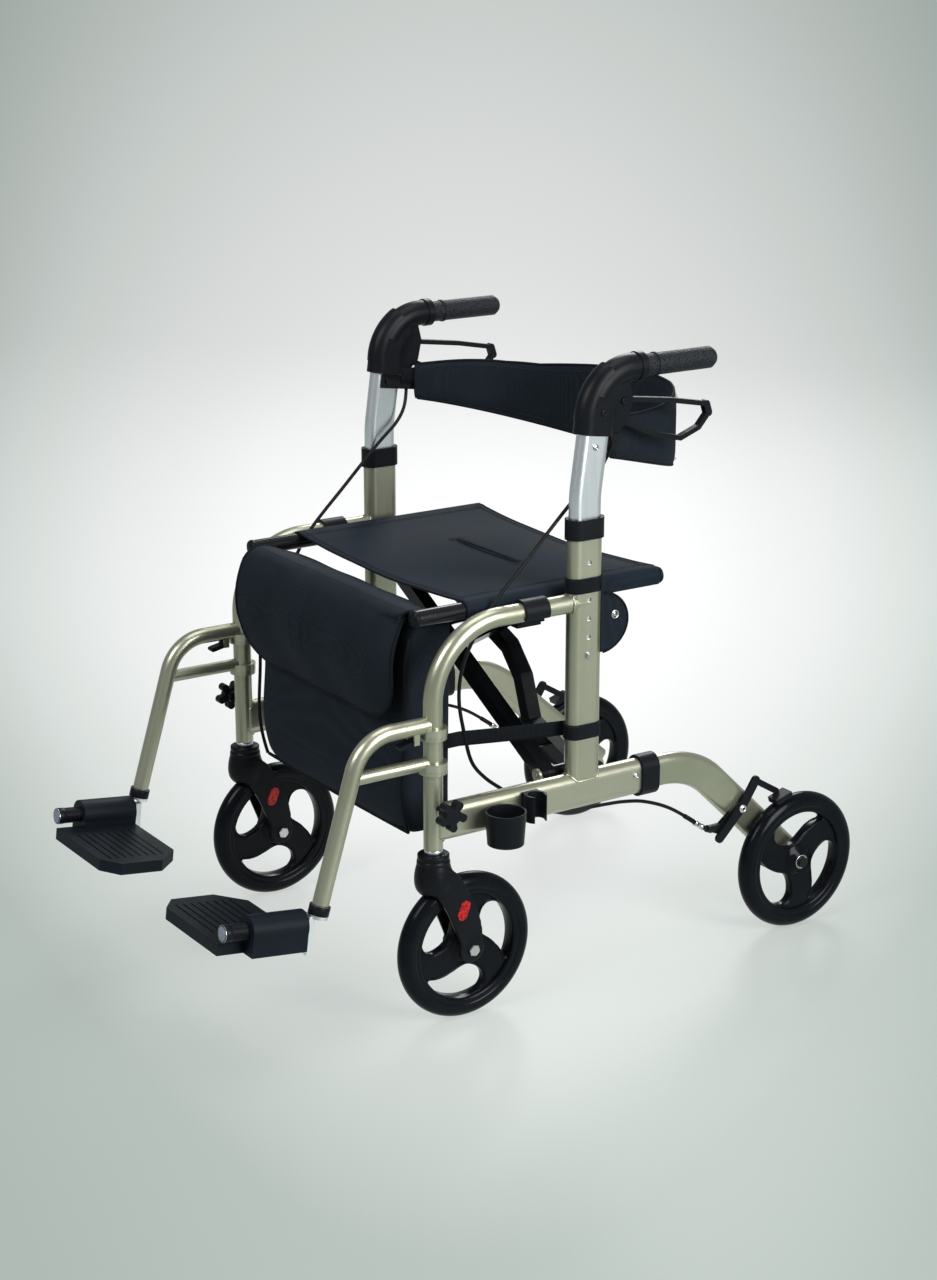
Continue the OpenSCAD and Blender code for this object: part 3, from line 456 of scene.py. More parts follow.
# Turned form from pairs of distance along the axis and radius, in millimetres, capped at both ends
def lathe(name, profile, centre, axis, material, sides=40):
    axis = Vector(axis).normalized()
    u = axis.orthogonal().normalized()
    w = axis.cross(u)
    verts = []
    for along, r in profile:
        for a in turns(sides):
            out = (u * math.cos(a) + w * math.sin(a)) * r
            verts.append(centre + (axis * along + out) / 1000)
    return add_mesh(name, verts, ring_faces(len(profile), sides), material)


# Turned ring about the x axis, whose profile closes on itself
def ring(name, loop, centre, material, sides=96):
    verts = []
    for along, r in loop:
        verts += [centre + Vector((along, r * math.cos(a), r * math.sin(a))) / 1000 for a in turns(sides)]
    return add_mesh(name, verts, ring_faces(len(loop), sides, True), material)


# Straight block between two places on the x axis, from an outline in y and z
def prism(name, outline, x0, x1, material):
    verts = [mm(x, y, z) for x in (x0, x1) for y, z in outline]
    return add_mesh(name, verts, ring_faces(2, len(outline)), material, False)


# Rounded head with a socket in its end
def screw_head(name, centre, axis, r, height, material):
    socket = height * 0.45
    profile = [(0, r), (height * 0.55, r), (height * 0.85, r * 0.86), (height, r * 0.62),
               (height, r * 0.42), (socket, r * 0.36), (socket, TIP)]
    return lathe(name, profile, centre, axis, material, 24)


# A profile followed by its mirror image across the wheel's middle
def mirrored(profile):
    return profile + [(-x, r) for x, r in reversed(profile)]


# Seat sling: mesh cloth over the two seat tubes, with hems, seams and a slit
SEAT_TUBE_R, CLOTH_GAP, CLOTH_HALF = 11.0, 0.3, 1.1
SEAT_FRONT, SEAT_DEPTH, SEAT_SAG = -107.0, 309.0, 9.0
SLIT_Y, SLIT_HALF = 75.0, 75


def seat():
    wrap_r = SEAT_TUBE_R + CLOTH_GAP + CLOTH_HALF
    wrap_steps, span_steps, rows = 14, 60, 50

    def sling(x):
        return SEAT_Z + wrap_r - SEAT_SAG * (1 - (x / SEAT_X) ** 2)

    def slack(x, y):
        inside = max(0.0, 1 - (x / 205) ** 2)
        ripple = 0.7 * math.sin(x / 31 + 0.4) * math.sin(y / 47 + 1.0) * inside
        droop = 1.6 * inside * ((y - 40) / 150) ** 2
        return ripple - droop

    def top(x, y, lift=1.6):
        return mm(x, y, sling(x) + slack(x, y) + lift)
    wrap = []
    for k in range(wrap_steps):
        a = math.radians(-50 + 140 * k / wrap_steps)
        wrap.append((SEAT_X + wrap_r * math.cos(a), SEAT_Z + wrap_r * math.sin(a)))
    span = [SEAT_X * (1 - 2 * k / span_steps) for k in range(span_steps + 1)]
    section = wrap + [(x, sling(x)) for x in span] + [(-x, z) for x, z in reversed(wrap)]
    grid = []
    for i in range(rows + 1):
        y = SEAT_FRONT + SEAT_DEPTH * i / rows
        grid.append([mm(x, y, z + slack(x, y)) for x, z in section])
    parts = [sheet_grid("sling", grid, MESH, 0.0022)]
    # Bound front and back edges, seams beside the tubes
    for y in (-105.5, 200.5):
        line = [top(x, y, 0.2) for x in range(-210, 211, 6)]
        parts.append(tube("hem", line, 0.0021, NYLON, 8))
    for y in (-99, -96, 194, 191):
        parts.append(stitches("seam", [top(x, y) for x in range(-205, 206, 5)]))
    for x in (-196, -191, 191, 196):
        parts.append(stitches("seam", [top(x, y) for y in range(-104, 201, 5)]))
    # Slit with bound lips, bar tacks at its ends and a seam on either side
    for dy in (-1.6, 1.6):
        lip = []
        for x in range(-SLIT_HALF, SLIT_HALF + 1, 5):
            gape = 0.0003 * dy * (SLIT_HALF ** 2 - x * x)
            lip.append(top(x, SLIT_Y + dy + gape, 1.3))
        parts.append(tube("lip", lip, 0.0017, WEBBING, 8))
    for x in (-80, 80):
        for dx in (-3, 0, 3):
            tack = [top(x + dx, SLIT_Y + dy) for dy in range(-11, 12, 2)]
            parts.append(stitches("tack", tack, gap=0.0004))
    for dy in (-9, 9):
        parts.append(stitches("seam", [top(x, SLIT_Y + dy) for x in range(-82, 83, 4)]))
    obj = join("seat_cloth", parts)
    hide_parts("seat_sling")
    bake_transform(obj)


seat()


# Bag body: sewn shell with gusset sides that pull in, and piping along its edges
BAG_LOW, BAG_TALL, BAG_BACK = 237.0, 284.0, -104.5
PIPING_R = 0.0024


# The front wall bulges with the load and ripples a little from foot to rim
def bag_front(z):
    foot, rim, wall, bulge, ripple = 236, 522, -165, 24, 4
    t = (z - foot) / (rim - foot)
    return wall - bulge * math.sin(math.pi * min(1, 0.15 + t * 0.75)) - ripple * math.sin(9 * t)


def bag():
    rows, cols = 44, 96
    verts = []
    for i in range(rows + 1):
        t = i / rows
        z = BAG_LOW + BAG_TALL * t
        front = bag_front(z)
        half = BAG_HALF - 3 - 5 * (1 - t) ** 2
        foot = 4 * (1 - t) ** 6
        edge = max(0.0, 1 - t * 18)
        for a in turns(cols):
            c, s = math.cos(a), math.sin(a)
            # Rounded rectangle: the low powers square off the circle
            x = math.copysign(abs(c) ** 0.16, c)
            y = math.copysign(abs(s) ** 0.30, s)
            pull = 10 * math.sin(math.pi * t) * (1 - abs(y)) if abs(x) > 0.9 else 0
            px = x * (half - pull)
            py = (front + BAG_BACK) / 2 + y * (BAG_BACK - front) / 2
            middle = 1 - (px / half) ** 2
            if y < -0.6:
                py -= 4 * middle * math.sin(math.pi * t)
                py += 1.3 * math.sin(px / 27 + 3 * t) * math.sin(7 * t + px / 80)
            sag = foot * middle * (1 if abs(y) < 0.99 else 0.6)
            py += (4 if y < 0 else -1) * edge * abs(y)
            verts.append(mm(px * (1 - 0.012 * edge), py, z - sag + foot))
    parts = [add_mesh("shell", verts, ring_faces(rows + 1, cols), NYLON)]
    for s in (-1, 1):
        side = []
        for z in range(244, 516, 8):
            x = BAG_HALF - 4 - 5 * (1 - (z - BAG_LOW) / BAG_TALL) ** 2
            side.append(mm(s * x, bag_front(z) + 2.5, z))
        parts.append(tube("pipe", side, PIPING_R, WEBBING, 10))
    across = range(-186, 187, 6)
    low = [mm(x, bag_front(244) + 4, 243 - 2.0 * (1 - (x / 186) ** 2)) for x in across]
    parts.append(tube("pipe", low, PIPING_R, WEBBING, 10))
    parts.append(tube("pipe", [mm(x, -107, 240) for x in across], 0.002, WEBBING, 10))
    obj = join("bag_cloth", parts)
    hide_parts("bag")
    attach(obj, "left_frame")
    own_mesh(obj)


bag()


# Flap: a stiffened sheet that bulges over the bag's front
FLAP_SPINE = [(-117, 527), (-127, 530), (-143, 535.5), (-166, 543.5), (-184, 545), (-202, 534), (-213, 512),
              (-219, 487), (-218, 460), (-211, 432), (-204, 410), (-198, 397)]
FLAP_CORNER = 62.0


def flap():
    path = smooth_path([Vector((y, z, 0)) for y, z in FLAP_SPINE], 6)
    lengths = arc_lengths(path)
    total = lengths[-1]
    half = BAG_HALF - 1.5
    cols, rows, edge_steps = 72, 46, 90

    def reach(x):
        inner = half - FLAP_CORNER
        if abs(x) <= inner:
            return total
        d = min(abs(x) - inner, FLAP_CORNER)
        return total - FLAP_CORNER + math.sqrt(max(FLAP_CORNER ** 2 - d ** 2, 0))

    def point(x, s, lift=0.0):
        p = point_along(path, lengths, max(0.0, min(total, s)))
        fall = s / total
        crease = 2.2 * math.sin(x / 43 + 2.2 * fall + 0.5) * math.sin(math.pi * min(1, fall * 1.05)) ** 2
        crease += 1.1 * math.sin(x / 19 - 5 * fall)
        side = max(0.0, (abs(x) - 135) / 60)
        tuck = (-19.0 if x > 0 else -3.0) * side ** 2 * math.sin(math.pi * min(1, fall * 0.95)) ** 0.8
        y, z = p.x, p.y
        y -= (crease + tuck + lift) * (1 if z < 538 else 0.25)
        z += (lift + 0.3 * crease) * (1 if z >= 530 else 0)
        return mm(x, y, z)

    def across(width, k, steps):
        return width * (2 * k / steps - 1)
    columns = [across(half, j, cols) for j in range(cols + 1)]
    grid = [[point(x, reach(x) * i / rows) for x in columns] for i in range(rows + 1)]
    parts = [sheet_grid("flap", grid, NYLON, 0.0026)]
    edge = [point(-half, reach(-half) * k / 20, 0.6) for k in range(4, 21)]
    for k in range(1, edge_steps):
        x = across(half, k, edge_steps)
        edge.append(point(x, reach(x) - 0.6, 0.6))
    edge += [point(half, reach(half) * k / 20, 0.6) for k in range(20, 3, -1)]
    parts.append(tube("bind", edge, 0.0021, WEBBING, 8))
    inset = 9
    hem = []
    for k in range(edge_steps + 1):
        x = across(half - inset, k, edge_steps)
        hem.append(point(x, reach(x) - inset, 2.0))
    parts.append(stitches("hem", hem))
    # Plain sewn patch and the seam along the fold
    for x in (-14, 14):
        parts.append(stitches("patch", [point(x - 20, s, 1.9) for s in range(100, 185, 4)]))
    parts.append(stitches("patch", [point(x - 20, 100, 1.9) for x in range(-14, 15, 3)]))
    parts.append(stitches("fold", [point(x, 66, 1.5) for x in range(-185, 186, 5)]))
    obj = join("flap_cloth", parts)
    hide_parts("bag_flap")
    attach(obj, "flap")
    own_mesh(obj)


flap()


# Backrest band: padded strap with bound edges, hem seams and webbing ends
BAND_END_Y, BAND_DEPTH, BAND_HALF, BAND_PUFF = 98.0, 190.0, 233.1, 3.6
BAND_LOW, BAND_DROP, BAND_TOP = 719.0, 52.0, 768.5
# Rise of the top edge across the band, which lies lower on the far side and higher on the near one
BAND_RISE = [(-240, 0), (-196, -5), (-152, -5), (-91, 3), (-53, 8), (0, 14), (91, 19), (152, 18), (196, 12),
             (240, 0)]


def backrest():
    steps, rows, arc_steps = 96, 14, 120

    def plan(a, grow):
        c, s = math.cos(a), math.sin(a)
        x = (BAND_HALF + grow) * math.copysign(abs(c) ** 0.65, c)
        return x, BAND_END_Y + (BAND_DEPTH - 2 + grow) * max(s, 0) ** 0.65

    def limits(x, y):
        t = (y - BAND_END_Y) / (BAND_DEPTH + 6)
        rise = 0.0
        for (x0, z0), (x1, z1) in zip(BAND_RISE, BAND_RISE[1:]):
            if x0 <= x <= x1:
                rise = z0 + (z1 - z0) * (x - x0) / (x1 - x0)
        return BAND_LOW - BAND_DROP * t ** 1.1, BAND_TOP + rise

    def point(a, f, grow):
        x, y = plan(a, grow)
        low, high = limits(x, y)
        return mm(x, y, low + (high - low) * f)

    def puff(f):
        return BAND_PUFF * (1 - (2 * f - 1) ** 6)
    verts = []
    heights = [i / rows for i in range(rows + 1)]
    for k in range(steps + 1):
        a = math.pi * (0.002 + 0.996 * k / steps)
        verts += [point(a, f, puff(f) + 0.5 * math.sin(21 * a) * math.sin(math.pi * f)) for f in heights]
        verts += [point(a, 1 - f, -puff(1 - f)) for f in heights]
    parts = [add_mesh("band", verts, ring_faces(steps + 1, 2 * len(heights)), NYLON)]
    arc = [math.pi * (0.004 + 0.992 * k / arc_steps) for k in range(arc_steps + 1)]
    for f in (0.012, 0.988):
        parts.append(tube("bind", [point(a, f, 0) for a in arc], 0.0019, WEBBING, 8))
    for f in (0.10, 0.90):
        for grow in (3.9, -3.9):
            parts.append(stitches("hem", [point(a, f, grow) for a in arc]))
    # Webbing tabs at the brackets
    for s in (-1, 1):
        grid = []
        for y in range(84, 119, 2):
            lean = (y - 84) * 0.02
            grid.append([mm(s * (238.0 - lean), y, z) for z in (740, 747, 754, 762)])
        parts.append(sheet_grid("tab", grid, WEBBING, 0.0016))
    obj = join("backrest_cloth", parts)
    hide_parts("backrest")
    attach(obj, "left_handle")
    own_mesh(obj)


backrest()


# Flat straps round the uprights: thickness in metres, heights in millimetres
STRAP_THICK, STRAP_LOW, STRAP_HIGH = 0.0015, 352, 372
# A flat-oval tube is two half rounds of this radius, each set off from the middle by the same length
OVAL_HALF = 12.5


def oval_path(grow, count=48):
    r = OVAL_HALF + grow
    outline = []
    for a in turns(count):
        outline.append((r * math.cos(a), r * math.sin(a) + math.copysign(OVAL_HALF, math.sin(a))))
    return outline


def upright_loop(s, grow):
    return [(s * (TRACK + x), UPRIGHT_Y + y) for x, y in oval_path(grow)]


def ribbon(name, path, z0, z1, closed):
    rows = [z0 + (z1 - z0) * k / 6 for k in range(7)]
    spots = path + [path[0]] if closed else path
    grid = [[mm(x, y, z) for z in rows] for x, y in spots]
    return sheet_grid(name, grid, WEBBING, STRAP_THICK)


def bag_straps():
    for side, s in SIDES:
        parts = [ribbon("loop", upright_loop(s, 1.1), STRAP_LOW, STRAP_HIGH, True)]
        run = [(s * (BAG_HALF + 1.1), -128 + 26 * k / 6) for k in range(6)]
        for k in range(25):
            t = k / 24
            x = BAG_HALF + 1.1 + 41.2 * t + 1.4 * math.sin(math.pi * t)
            run.append((s * x, -102 + 145 * t))
        parts.append(ribbon("run", run, STRAP_LOW, STRAP_HIGH, False))
        for z in (STRAP_LOW + 1.6, STRAP_HIGH - 1.6):
            parts.append(stitches("seam", [mm(x, y, z) for x, y in upright_loop(s, 2.0)]))
        obj = join(side + "_bag_strap_web", parts)
        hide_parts(side + "_bag_strap")
        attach(obj, side + "_frame")


bag_straps()


# Cane strap: a loop round the near upright with a rounded flap, an eyelet and a stud
def cane_strap():
    root_y, round_z, round_r = 72.6, 508, 41
    eye_y, eye_z, eye_r = 94, 517, 5

    def bulge(z):
        return 4.0 * math.sin(math.pi * (z - 466) / 110)
    parts = [ribbon("loop", upright_loop(1, 1.1), 551, 571, True)]
    grid = []
    for i in range(25):
        z = 468 + 99 * i / 24
        if z < 548:
            reach = math.sqrt(max((round_r + 1) ** 2 - (z - round_z) ** 2, 4))
        else:
            reach = 33 - (z - 548) * 0.6
        grid.append([mm(265.7 + bulge(z) * j / 12, root_y + reach * j / 12, z) for j in range(13)])
    parts.append(sheet_grid("flap", grid, NYLON, 0.0016))
    edge = []
    for k in range(41):
        a = math.radians(-84 + 168 * k / 40)
        z = round_z + round_r * math.sin(a)
        edge.append(mm(266.6 + bulge(z), root_y + round_r * math.cos(a), z))
    parts.append(tube("bind", edge, 0.0013, WEBBING, 8))
    eye = [mm(269.0, eye_y + eye_r * math.cos(a), eye_z + eye_r * math.sin(a)) for a in turns(28)]
    parts.append(tube("eyelet", eye, 0.0013, STEEL, 10, True))
    stud = [(0, 3.2), (1.2, 3.0), (1.6, 1.5), (1.6, TIP)]
    parts.append(lathe("stud", stud, mm(267.6, eye_y, eye_z), (1, 0, 0), STEEL, 24))
    obj = join("cane_strap_web", parts)
    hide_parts("cane_strap")
    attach(obj, "left_frame")


cane_strap()


# Brake cables along the solids' routes, with ferrules
ROUTE = [(249, 97, 756.7), (248.8, 97.5, 747), (247.5, 99, 736), (239, 90, 708), (232.5, 72, 686),
         (232.5, 40, 658), (232.5, -18, 602), (232.5, -70, 551), (231, -100, 510), (229, -118, 470),
         (227, -122, 427), (227, -114, 380), (226, -102, 339), (224, -80, 312), (225, -50, 288),
         (231, -22, 266), (242, 12, 251), (249, 45, 248), (251.5, 90, 247), (251.5, 128, 244),
         (251.5, 165, 236), (251.5, 210, 216), (251.5, 265.6, 177.3)]


def route_points(s):
    return [mm(s * x, y, z) for x, y, z in ROUTE]


def cables():
    for side, s in SIDES:
        path = smooth_path(route_points(s), 8)
        parts = [tube("housing", path, 0.0025, CABLE, 14),
                 tube("ferrule", path[:6], 0.0032, MOULDED, 14),
                 tube("ferrule", path[-6:], 0.0033, MOULDED, 14)]
        obj = join(side + "_cable", parts)
        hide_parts(side + "_brake_cable")
        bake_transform(obj)


cables()


# Small fittings that ride on the rigid bodies
def handle_screws(side, s):
    out = (s, 0, 0)
    parts = [screw_head("screw", mm(s * (TRACK + 16.4), 71, 786), out, 5.0, 2.4, MOULDED),
             screw_head("screw", mm(s * (TRACK + 9.9), 107, 796), out, 4.6, 2.4, MOULDED),
             screw_head("screw", mm(s * (TRACK + 10.5), 63, 741), out, 4.2, 2.6, STEEL)]
    obj = join(side + "_handle_screws", parts)
    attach(obj, side + "_handle")


# Weld beads where the tubes meet, and the screw at the rail's collar
WELD_R = 0.0018
ROUND_TUBE_R, ARCH_BEAD_R, OVAL_BEAD_R = 12.7, 13.4, 13.0


def frame_welds(side, s):
    arch, seam, front = [], [], []
    for a in turns(60):
        c, rise = math.cos(a), math.sin(a)
        arch.append(mm(s * (TRACK + ARCH_BEAD_R * c), 34.5 - 3.0 * c ** 2, ARCH_Z + ARCH_BEAD_R * rise))
        x, z = OVAL_BEAD_R * c, OVAL_BEAD_R * rise + math.copysign(OVAL_HALF, rise)
        y = FRONT_Y + math.sqrt(max(ROUND_TUBE_R ** 2 - min(abs(x), 12.4) ** 2, 4))
        front.append(mm(s * (TRACK + x * 0.99), y + 0.3, RAIL_Z + z))
    for x, y in oval_path(0.3, 72):
        top = OVAL_HALF + math.sqrt(max(OVAL_BEAD_R ** 2 - min(abs(x), 12.6) ** 2, 6))
        seam.append(mm(s * (TRACK + x), UPRIGHT_Y + y, RAIL_Z + top))
    parts = [screw_head("screw", mm(s * (TRACK + 12.9), 137, 283), (s, 0, 0), 4.4, 2.6, STEEL)]
    parts += [tube("weld", line, WELD_R, PAINT, 8, True) for line in (arch, seam, front)]
    obj = join(side + "_frame_welds", parts)
    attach(obj, side + "_frame")


# Plugs in the ends of the seat tube, carried by the arm that ends there
def seat_plugs(side, s):
    body = "brace_b" if s > 0 else "brace_a"
    plug = [(-1, 11.4), (2, 11.6), (4.4, 10.4), (5.2, 8.5), (5.4, TIP)]
    parts = [lathe("plug", plug, mm(s * SEAT_X, -178, SEAT_Z), (0, -1, 0), MOULDED),
             lathe("plug", plug, mm(s * SEAT_X, 205, SEAT_Z), (0, 1, 0), MOULDED)]
    obj = join(side + "_seat_plugs", parts)
    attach(obj, body)


# Bright sleeve on the caster's stem
def stem_sleeve(side, s):
    sleeve = [(0, 11.4), (0.3, 11.9), (5.6, 11.9), (6.2, 11.2), (6.2, 6.0)]
    obj = lathe(side + "_stem_sleeve", sleeve, mm(s * TRACK, FRONT_Y, FORK_TOP + 0.1), (0, 0, 1), SILVER)
    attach(obj, side + "_caster")


# Ridged black cover with a grey end on the plate's axle, and black ring at the hanger's foot
def axle_covers(side, s):
    ahead = Vector((0, -math.cos(TOE), math.sin(TOE)))
    axle_reach, foot_y, foot_z = 0.103, -346.815, 203
    tip = mm(s * PLATE_X, PLATE_Y, PLATE_Z) + ahead * axle_reach
    shaft_r, ridge_r, pitch = 10.2, 10.8, 1.5
    cap = [(-23.4, TIP), (-23.4, shaft_r)]
    for k in range(15):
        cap += [(-22.8 + pitch * k, shaft_r), (-22.4 + pitch * k, ridge_r), (-21.8 + pitch * k, ridge_r)]
    cap += [(-0.2, shaft_r), (-0.2, 11.0), (0.3, 11.25), (9.0, 11.25), (9.9, 10.9), (10.3, 10.3)]
    cap.append((10.3, TIP))
    disc = [(9.6, TIP), (9.6, 9.3), (10.4, 9.3), (10.55, 9.0), (10.55, TIP)]
    band = [(-2.2, 11.2), (-2.2, 13.2), (-1.6, 13.7), (10.4, 13.7), (11.0, 13.2), (11.0, 11.2)]
    down = (0, -math.sin(HANGER_SLOPE), -math.cos(HANGER_SLOPE))
    parts = [lathe("cap", cap, tip, ahead, MOULDED),
             lathe("disc", disc, tip, ahead, CAP),
             lathe("ring", band, mm(s * TRACK, foot_y, foot_z), down, MOULDED)]
    obj = join(side + "_axle_covers", parts)
    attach(obj, side + "_hanger")


for side_name, sign in SIDES:
    for make in (handle_screws, frame_welds, seat_plugs, stem_sleeve, axle_covers):
        make(side_name, sign)


# Wheels: tyre, disc with three comma-shaped windows, hub and bearing rings
TYRE_R, TYRE_MID = 14.0, 85.98
DISC_R, DISC_BORE, BEAD_OUT, BEAD_X = 78.0, 12.0, 3.4, 6.4
# Half thickness and rounding of the disc, and radius of the bead, in metres
DISC_HALF, DISC_ROUND, BEAD_R = 0.004, 0.0028, 0.0017
# One window's outline as pairs of angle in degrees and radius in millimetres
WINDOW = [(55, 70.6), (68, 71.6), (84, 71.8), (100, 71.8), (114, 71.4), (126, 68.5), (134.5, 62),
          (138.5, 52.5), (136.5, 42), (129, 33.5), (116, 28.5), (101, 28), (88, 32), (77, 39.5),
          (67, 48.5), (58, 57.5), (51.5, 64.5), (51, 68.8)]


def polar(r, degrees):
    return Vector((r * math.cos(math.radians(degrees)), r * math.sin(math.radians(degrees)), 0))


# Three smooth closed outlines; the ends overlap so that the curve closes smoothly
def window_loops(turn):
    loops = []
    for k in range(3):
        spots = [polar(r, a + turn + 120 * k) for a, r in WINDOW]
        loops.append(smooth_path(spots[-2:] + spots + spots[:3], 6)[12:-13])
    return loops


# Filled flat curve with rounded edges, turned into a mesh in the wheel's plane
def wheel_disc(name, centre, turn, material):
    curve = bpy.data.curves.new(name, "CURVE")
    curve.dimensions = "2D"
    curve.fill_mode = "BOTH"
    curve.extrude = DISC_HALF
    curve.bevel_depth = DISC_ROUND
    curve.bevel_resolution = 3
    curve.offset = -DISC_ROUND
    circles = [[polar(r, a) for a in range(0, 360, 4)] for r in (DISC_R, DISC_BORE)]
    for loop in circles + window_loops(turn):
        line = curve.splines.new("POLY")
        line.points.add(len(loop) - 1)
        line.use_cyclic_u = True
        for point, p in zip(line.points, loop):
            point.co = (p.x / 1000, p.y / 1000, 0, 1)
    flat = bpy.data.objects.new(name, curve)
    bpy.context.scene.collection.objects.link(flat)
    mesh = bpy.data.meshes.new_from_object(flat.evaluated_get(bpy.context.evaluated_depsgraph_get()))
    bm = bmesh.new()
    bm.from_mesh(mesh)
    bmesh.ops.remove_doubles(bm, verts=bm.verts, dist=0.00002)
    bm.verts.index_update()
    verts = [centre + Vector((v.co.z, v.co.x, v.co.y)) for v in bm.verts]
    faces = [tuple(v.index for v in face.verts) for face in bm.faces]
    bm.free()
    bpy.data.objects.remove(flat)
    bpy.data.curves.remove(curve)
    bpy.data.meshes.remove(mesh)
    disc = add_mesh(name, verts, faces, material)
    # The faces across the axle stay flat, the rounded edges are smooth
    for poly in disc.data.polygons:
        poly.use_smooth = abs(poly.normal.x) < 0.97
    return disc


# Raised bead round a window, on one face of the disc
def window_bead(loop, centre, way):
    middle = sum(loop, Vector()) / len(loop)
    path = []
    for p in loop:
        out = p + (p - middle).normalized() * BEAD_OUT
        path.append(centre + Vector((way * BEAD_X, out.x, out.y)) / 1000)
    return tube("bead", path, BEAD_R, GLOSSY, 8, True)


def wheels():
    section = []
    for k in range(17):
        a = math.radians(-104 + 13 * k)
        section.append((TYRE_R * math.sin(a), TYRE_MID + TYRE_R * math.cos(a)))
    section += mirrored([(13.0, 81.0), (12.3, 80.2), (12.6, 79.0), (12.2, 75.0), (11.2, 73.0), (9.2, 72.0)])
    dome = [(14.8, 4.6), (14.8, 11.6), (14.2, 12.8), (11.5, 15.2), (8.5, 19.5), (6.9, 24.5), (5.0, 25.5)]
    bearing = [(13.0, 7.9), (15.2, 7.9), (15.5, 8.2), (15.5, 9.9), (15.2, 10.3), (13.0, 10.3)]
    for side, s in SIDES:
        for end, x, y, turn in (("front", TRACK, CASTER_Y, 42), ("rear", REAR_X, REAR_Y, 0)):
            centre = mm(s * x, y, AXLE_Z)
            parts = [ring("tyre", section, centre, GLOSSY),
                     wheel_disc("disc", centre, turn, GLOSSY),
                     ring("hub", mirrored(dome), centre, GLOSSY, 48)]
            for way in (1, -1):
                parts.append(ring("bearing", [(way * a, r) for a, r in bearing], centre, STEEL, 48))
                parts += [window_bead(loop, centre, way) for loop in window_loops(turn)]
            obj = join(side + "_" + end + "_rolling_wheel", parts)
            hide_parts(side + "_" + end + "_wheel")
            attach(obj, side + "_" + end + "_roller")


wheels()


# Caster forks: head, crown and blades melted into one moulded form, then cut free of the wheel
FORK_FRONT = [(-186, 214), (-190, 200), (-184, 182), (-169, 158), (-157, 130), (-148, 107)]
FORK_REAR = [(-116, 107), (-117, 130), (-125, 158), (-139, 186), (-150, 206), (-164, 218)]
BOSS_R, WHEEL_ROOM, FORK_VOXEL = 19.0, 105.0, 0.0022


def fork_body(x):
    edge = []
    for line in (FORK_FRONT, FORK_REAR):
        edge += [(p.x, p.y) for p in smooth_path([Vector((y, z, 0)) for y, z in line], 4)]
    boss = [(-BLADE_OUT, TIP), (-BLADE_OUT, BOSS_R), (BLADE_OUT, BOSS_R), (BLADE_OUT, TIP)]
    core = [(5, TIP), (5, 19.5), (10, 20.5), (18, 23), (28, 25), (38, 25.5), (47, 24), (54, 19), (58, 10),
            (58, TIP)]
    parts = [prism("blades", edge, x - BLADE_OUT, x + BLADE_OUT, MOULDED),
             lathe("boss", boss, mm(x, CASTER_Y, AXLE_Z), (1, 0, 0), MOULDED),
             lathe("core", core, mm(x, FRONT_Y, FORK_TOP), (0, 0, -1), MOULDED)]
    body = join("fork", parts)
    melt = body.modifiers.new("melt", "REMESH")
    melt.mode = "VOXEL"
    melt.voxel_size = FORK_VOXEL
    ease = body.modifiers.new("ease", "SMOOTH")
    ease.factor = 0.5
    ease.iterations = 6
    room = []
    for k in range(49):
        a = math.pi * k / 48
        room.append((CASTER_Y + WHEEL_ROOM * math.cos(a), AXLE_Z + WHEEL_ROOM * math.sin(a)))
    room += [(CASTER_Y - WHEEL_ROOM, 40), (CASTER_Y + WHEEL_ROOM, 40)]
    cutter = prism("room", room, x - BLADE_IN, x + BLADE_IN, MOULDED)
    cut = body.modifiers.new("cut", "BOOLEAN")
    cut.operation = "DIFFERENCE"
    cut.object = cutter
    cut.solver = "EXACT"
    apply_mods(body)
    discard(cutter)
    body.data.set_sharp_from_angle(angle=math.radians(40))
    return body


def forks():
    rim = [(0, 11.0), (0, 19.6), (0.8, 20.8), (5.4, 20.8), (6.2, 20.0), (7.4, 20.0), (8.2, 21.3),
           (12.4, 22.0), (13.2, 21.2), (13.2, 11.0)]
    stem = [(-6.6, TIP), (-6.6, 9.0), (6.0, 9.0), (6.0, TIP)]
    for side, s in SIDES:
        top = mm(s * TRACK, FRONT_Y, FORK_TOP)
        parts = [fork_body(s * TRACK),
                 lathe("rim", rim, top, (0, 0, -1), MOULDED),
                 lathe("stem", stem, top, (0, 0, -1), STEEL)]
        obj = join(side + "_moulded_fork", parts)
        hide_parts(side + "_caster_fork")
        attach(obj, side + "_caster")


forks()


# Thin pale lines along the grooves of the footplates
def plate_lines(side, s):
    first, pitch, level, inner, length = 14.5, 11, 163.9, 88, 102
    parts = []
    for k in range(8):
        dy, dz = PLATE_FRONT + first + pitch * k - PLATE_Y, level - PLATE_Z
        y = PLATE_Y + dy * math.cos(TOE) + dz * math.sin(TOE)
        z = PLATE_Z - dy * math.sin(TOE) + dz * math.cos(TOE)
        spots = [mm(s * (inner + length * t / 4), y, z) for t in range(5)]
        parts.append(tube("line", spots, 0.0006, LINE, 8))
    obj = join(side + "_plate_lines", parts)
    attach(obj, side + "_plate")


# Bright bolt at the brake arm's pivot
def brake_bolt(side, s):
    bolt = screw_head(side + "_brake_bolt", mm(s * (REAR_X - 4), 328, 195), (s, 0, 0), 6.0, 4.5, SILVER)
    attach(bolt, side + "_arm")


# Adjuster barrel round the lower end of the brake cable
def cable_barrel(side, s):
    before, end = route_points(s)[-2:]
    barrel = [(1.0, 2.7), (1.0, 4.1), (5.0, 4.1), (5.4, 3.5), (14.0, 3.5), (14.4, 4.3), (18.0, 4.3),
              (18.6, 2.7)]
    obj = lathe(side + "_cable_barrel", barrel, end, before - end, STEEL, 24)
    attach(obj, side + "_frame")


